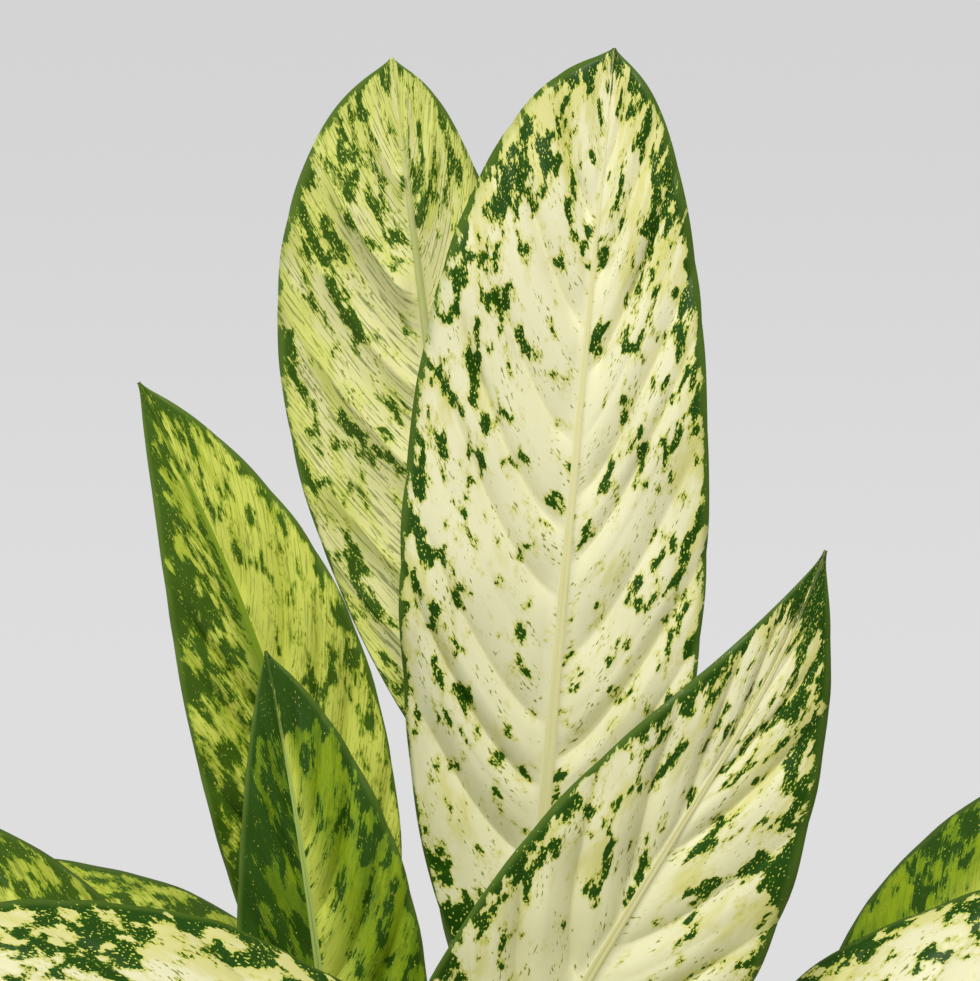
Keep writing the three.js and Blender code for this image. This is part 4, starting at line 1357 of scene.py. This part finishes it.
def make_floor(stage):
    """A round floor whose rim fades into the background."""
    rim = np.c_[circle(FLOOR.sides), np.zeros(FLOOR.sides)] * (stage.floor_radius / MM)
    points = np.concatenate([rim, [(0, 0, 0)]])
    faces = [[FLOOR.sides, s, (s + 1) % FLOOR.sides] for s in range(FLOOR.sides)]
    floor = new_object("floor", points, faces)
    made, n = material("floor_paper")
    place = n.add("ShaderNodeTexCoord").outputs["Object"]
    away = n.add("ShaderNodeVectorMath", place, operation="LENGTH").outputs["Value"]
    grain = n.step(n.noise(place, FLOOR.grain, 3), 0.3, 0.7, 0.0, FLOOR.grain_share)
    paper = n.principled(
        Base_Color=n.mix(grain, tuple(stage.floor), linear(*FLOOR.grain_tone)), Roughness=0.9)
    clear = n.add("ShaderNodeBsdfTransparent").outputs[0]
    fade = n.step(away, *(stage.floor_radius * share_of for share_of in FLOOR.fades))
    n.finish(n.add("ShaderNodeMixShader", fade, paper, clear).outputs[0])
    floor.data.materials.append(made)


def make_light(name, kind, aim, power):
    """A square light that points at the plant."""
    lamp = bpy.data.lights.new(name, "AREA")
    lamp.energy = power
    lamp.color = kind.tint
    lamp.size = kind.size
    light = bpy.data.objects.new(name, lamp)
    light.location = aim + Vector(kind.place)
    light.rotation_euler = (aim - light.location).to_track_quat("-Z", "Y").to_euler()
    bpy.context.scene.collection.objects.link(light)


# ---- operators ---------------------------------------------------------------------------------


class PLANT_OT_stage(bpy.types.Operator):
    """Sets the camera, the lights, the pale background and the floor."""

    bl_idname = "plant.stage"
    bl_label = "Stage"

    def execute(self, context):
        stage = context.scene.plant_stage
        context.scene.view_settings.view_transform = "Standard"
        aim = Vector(stage.aim)
        make_camera(context.scene, stage, aim)
        make_world(context.scene, stage)
        make_floor(stage)
        for name, kind in LIGHTS.items():
            make_light(f"{name}_light", kind, aim, getattr(stage, f"{name}_power"))
        return {"FINISHED"}


class PLANT_OT_pot(bpy.types.Operator):
    """Turns the pot, with its collar and drain holes."""

    bl_idname = "plant.pot"
    bl_label = "Pot"

    def execute(self, context):
        pot_piece(context.scene.plant_pot, pot_material())
        return {"FINISHED"}


class PLANT_OT_soil(bpy.types.Operator):
    """Fills the pot with crumbly potting soil."""

    bl_idname = "plant.soil"
    bl_label = "Potting soil"

    def execute(self, context):
        soil_piece(context.scene.plant_pot, soil_material())
        return {"FINISHED"}


class PLANT_OT_stems(bpy.types.Operator):
    """Grows the four canes with their leaf stalks."""

    bl_idname = "plant.stems"
    bl_label = "Stems"

    def execute(self, context):
        skin = stem_material()
        for name in STEMS:
            stem_piece(name, skin)
        return {"FINISHED"}


class PLANT_OT_leaves(bpy.types.Operator):
    """Grows the variegated blades, with their veins, midribs and waved margins."""

    bl_idname = "plant.leaves"
    bl_label = "Leaves"

    def execute(self, context):
        finishes = {look: [leaf_material(look, under) for under in (False, True)]
                    for look in LOOKS}
        for leaf in LEAVES.values():
            leaf_piece(leaf, context.scene.plant_blades, finishes[leaf.look])
        return {"FINISHED"}


OPERATORS = (PLANT_OT_stage, PLANT_OT_pot, PLANT_OT_soil, PLANT_OT_stems, PLANT_OT_leaves)


class PLANT_PT_panel(bpy.types.Panel):
    """Lists the pieces' operators and the sizes and colours they read."""

    bl_idname = "PLANT_PT_panel"
    bl_label = "Dieffenbachia"
    bl_space_type = "VIEW_3D"
    bl_region_type = "UI"
    bl_category = "Dieffenbachia"

    def draw(self, context):
        for operator in OPERATORS:
            self.layout.operator(operator.bl_idname)
        for name, group in SETTINGS.items():
            column = self.layout.box().column()
            for key in group.__annotations__:
                column.prop(getattr(context.scene, name), key)


CLASSES = (*SETTINGS.values(), *OPERATORS, PLANT_PT_panel)


def register():
    for cls in CLASSES:
        bpy.utils.register_class(cls)
    for name, group in SETTINGS.items():
        setattr(bpy.types.Scene, name, PointerProperty(type=group))


def unregister():
    for name in SETTINGS:
        delattr(bpy.types.Scene, name)
    for cls in reversed(CLASSES):
        bpy.utils.unregister_class(cls)


def main():
    register()
    bpy.ops.plant.stage()
    bpy.ops.plant.pot()
    bpy.ops.plant.soil()
    bpy.ops.plant.stems()
    bpy.ops.plant.leaves()


if __name__ == "__main__":
    main()
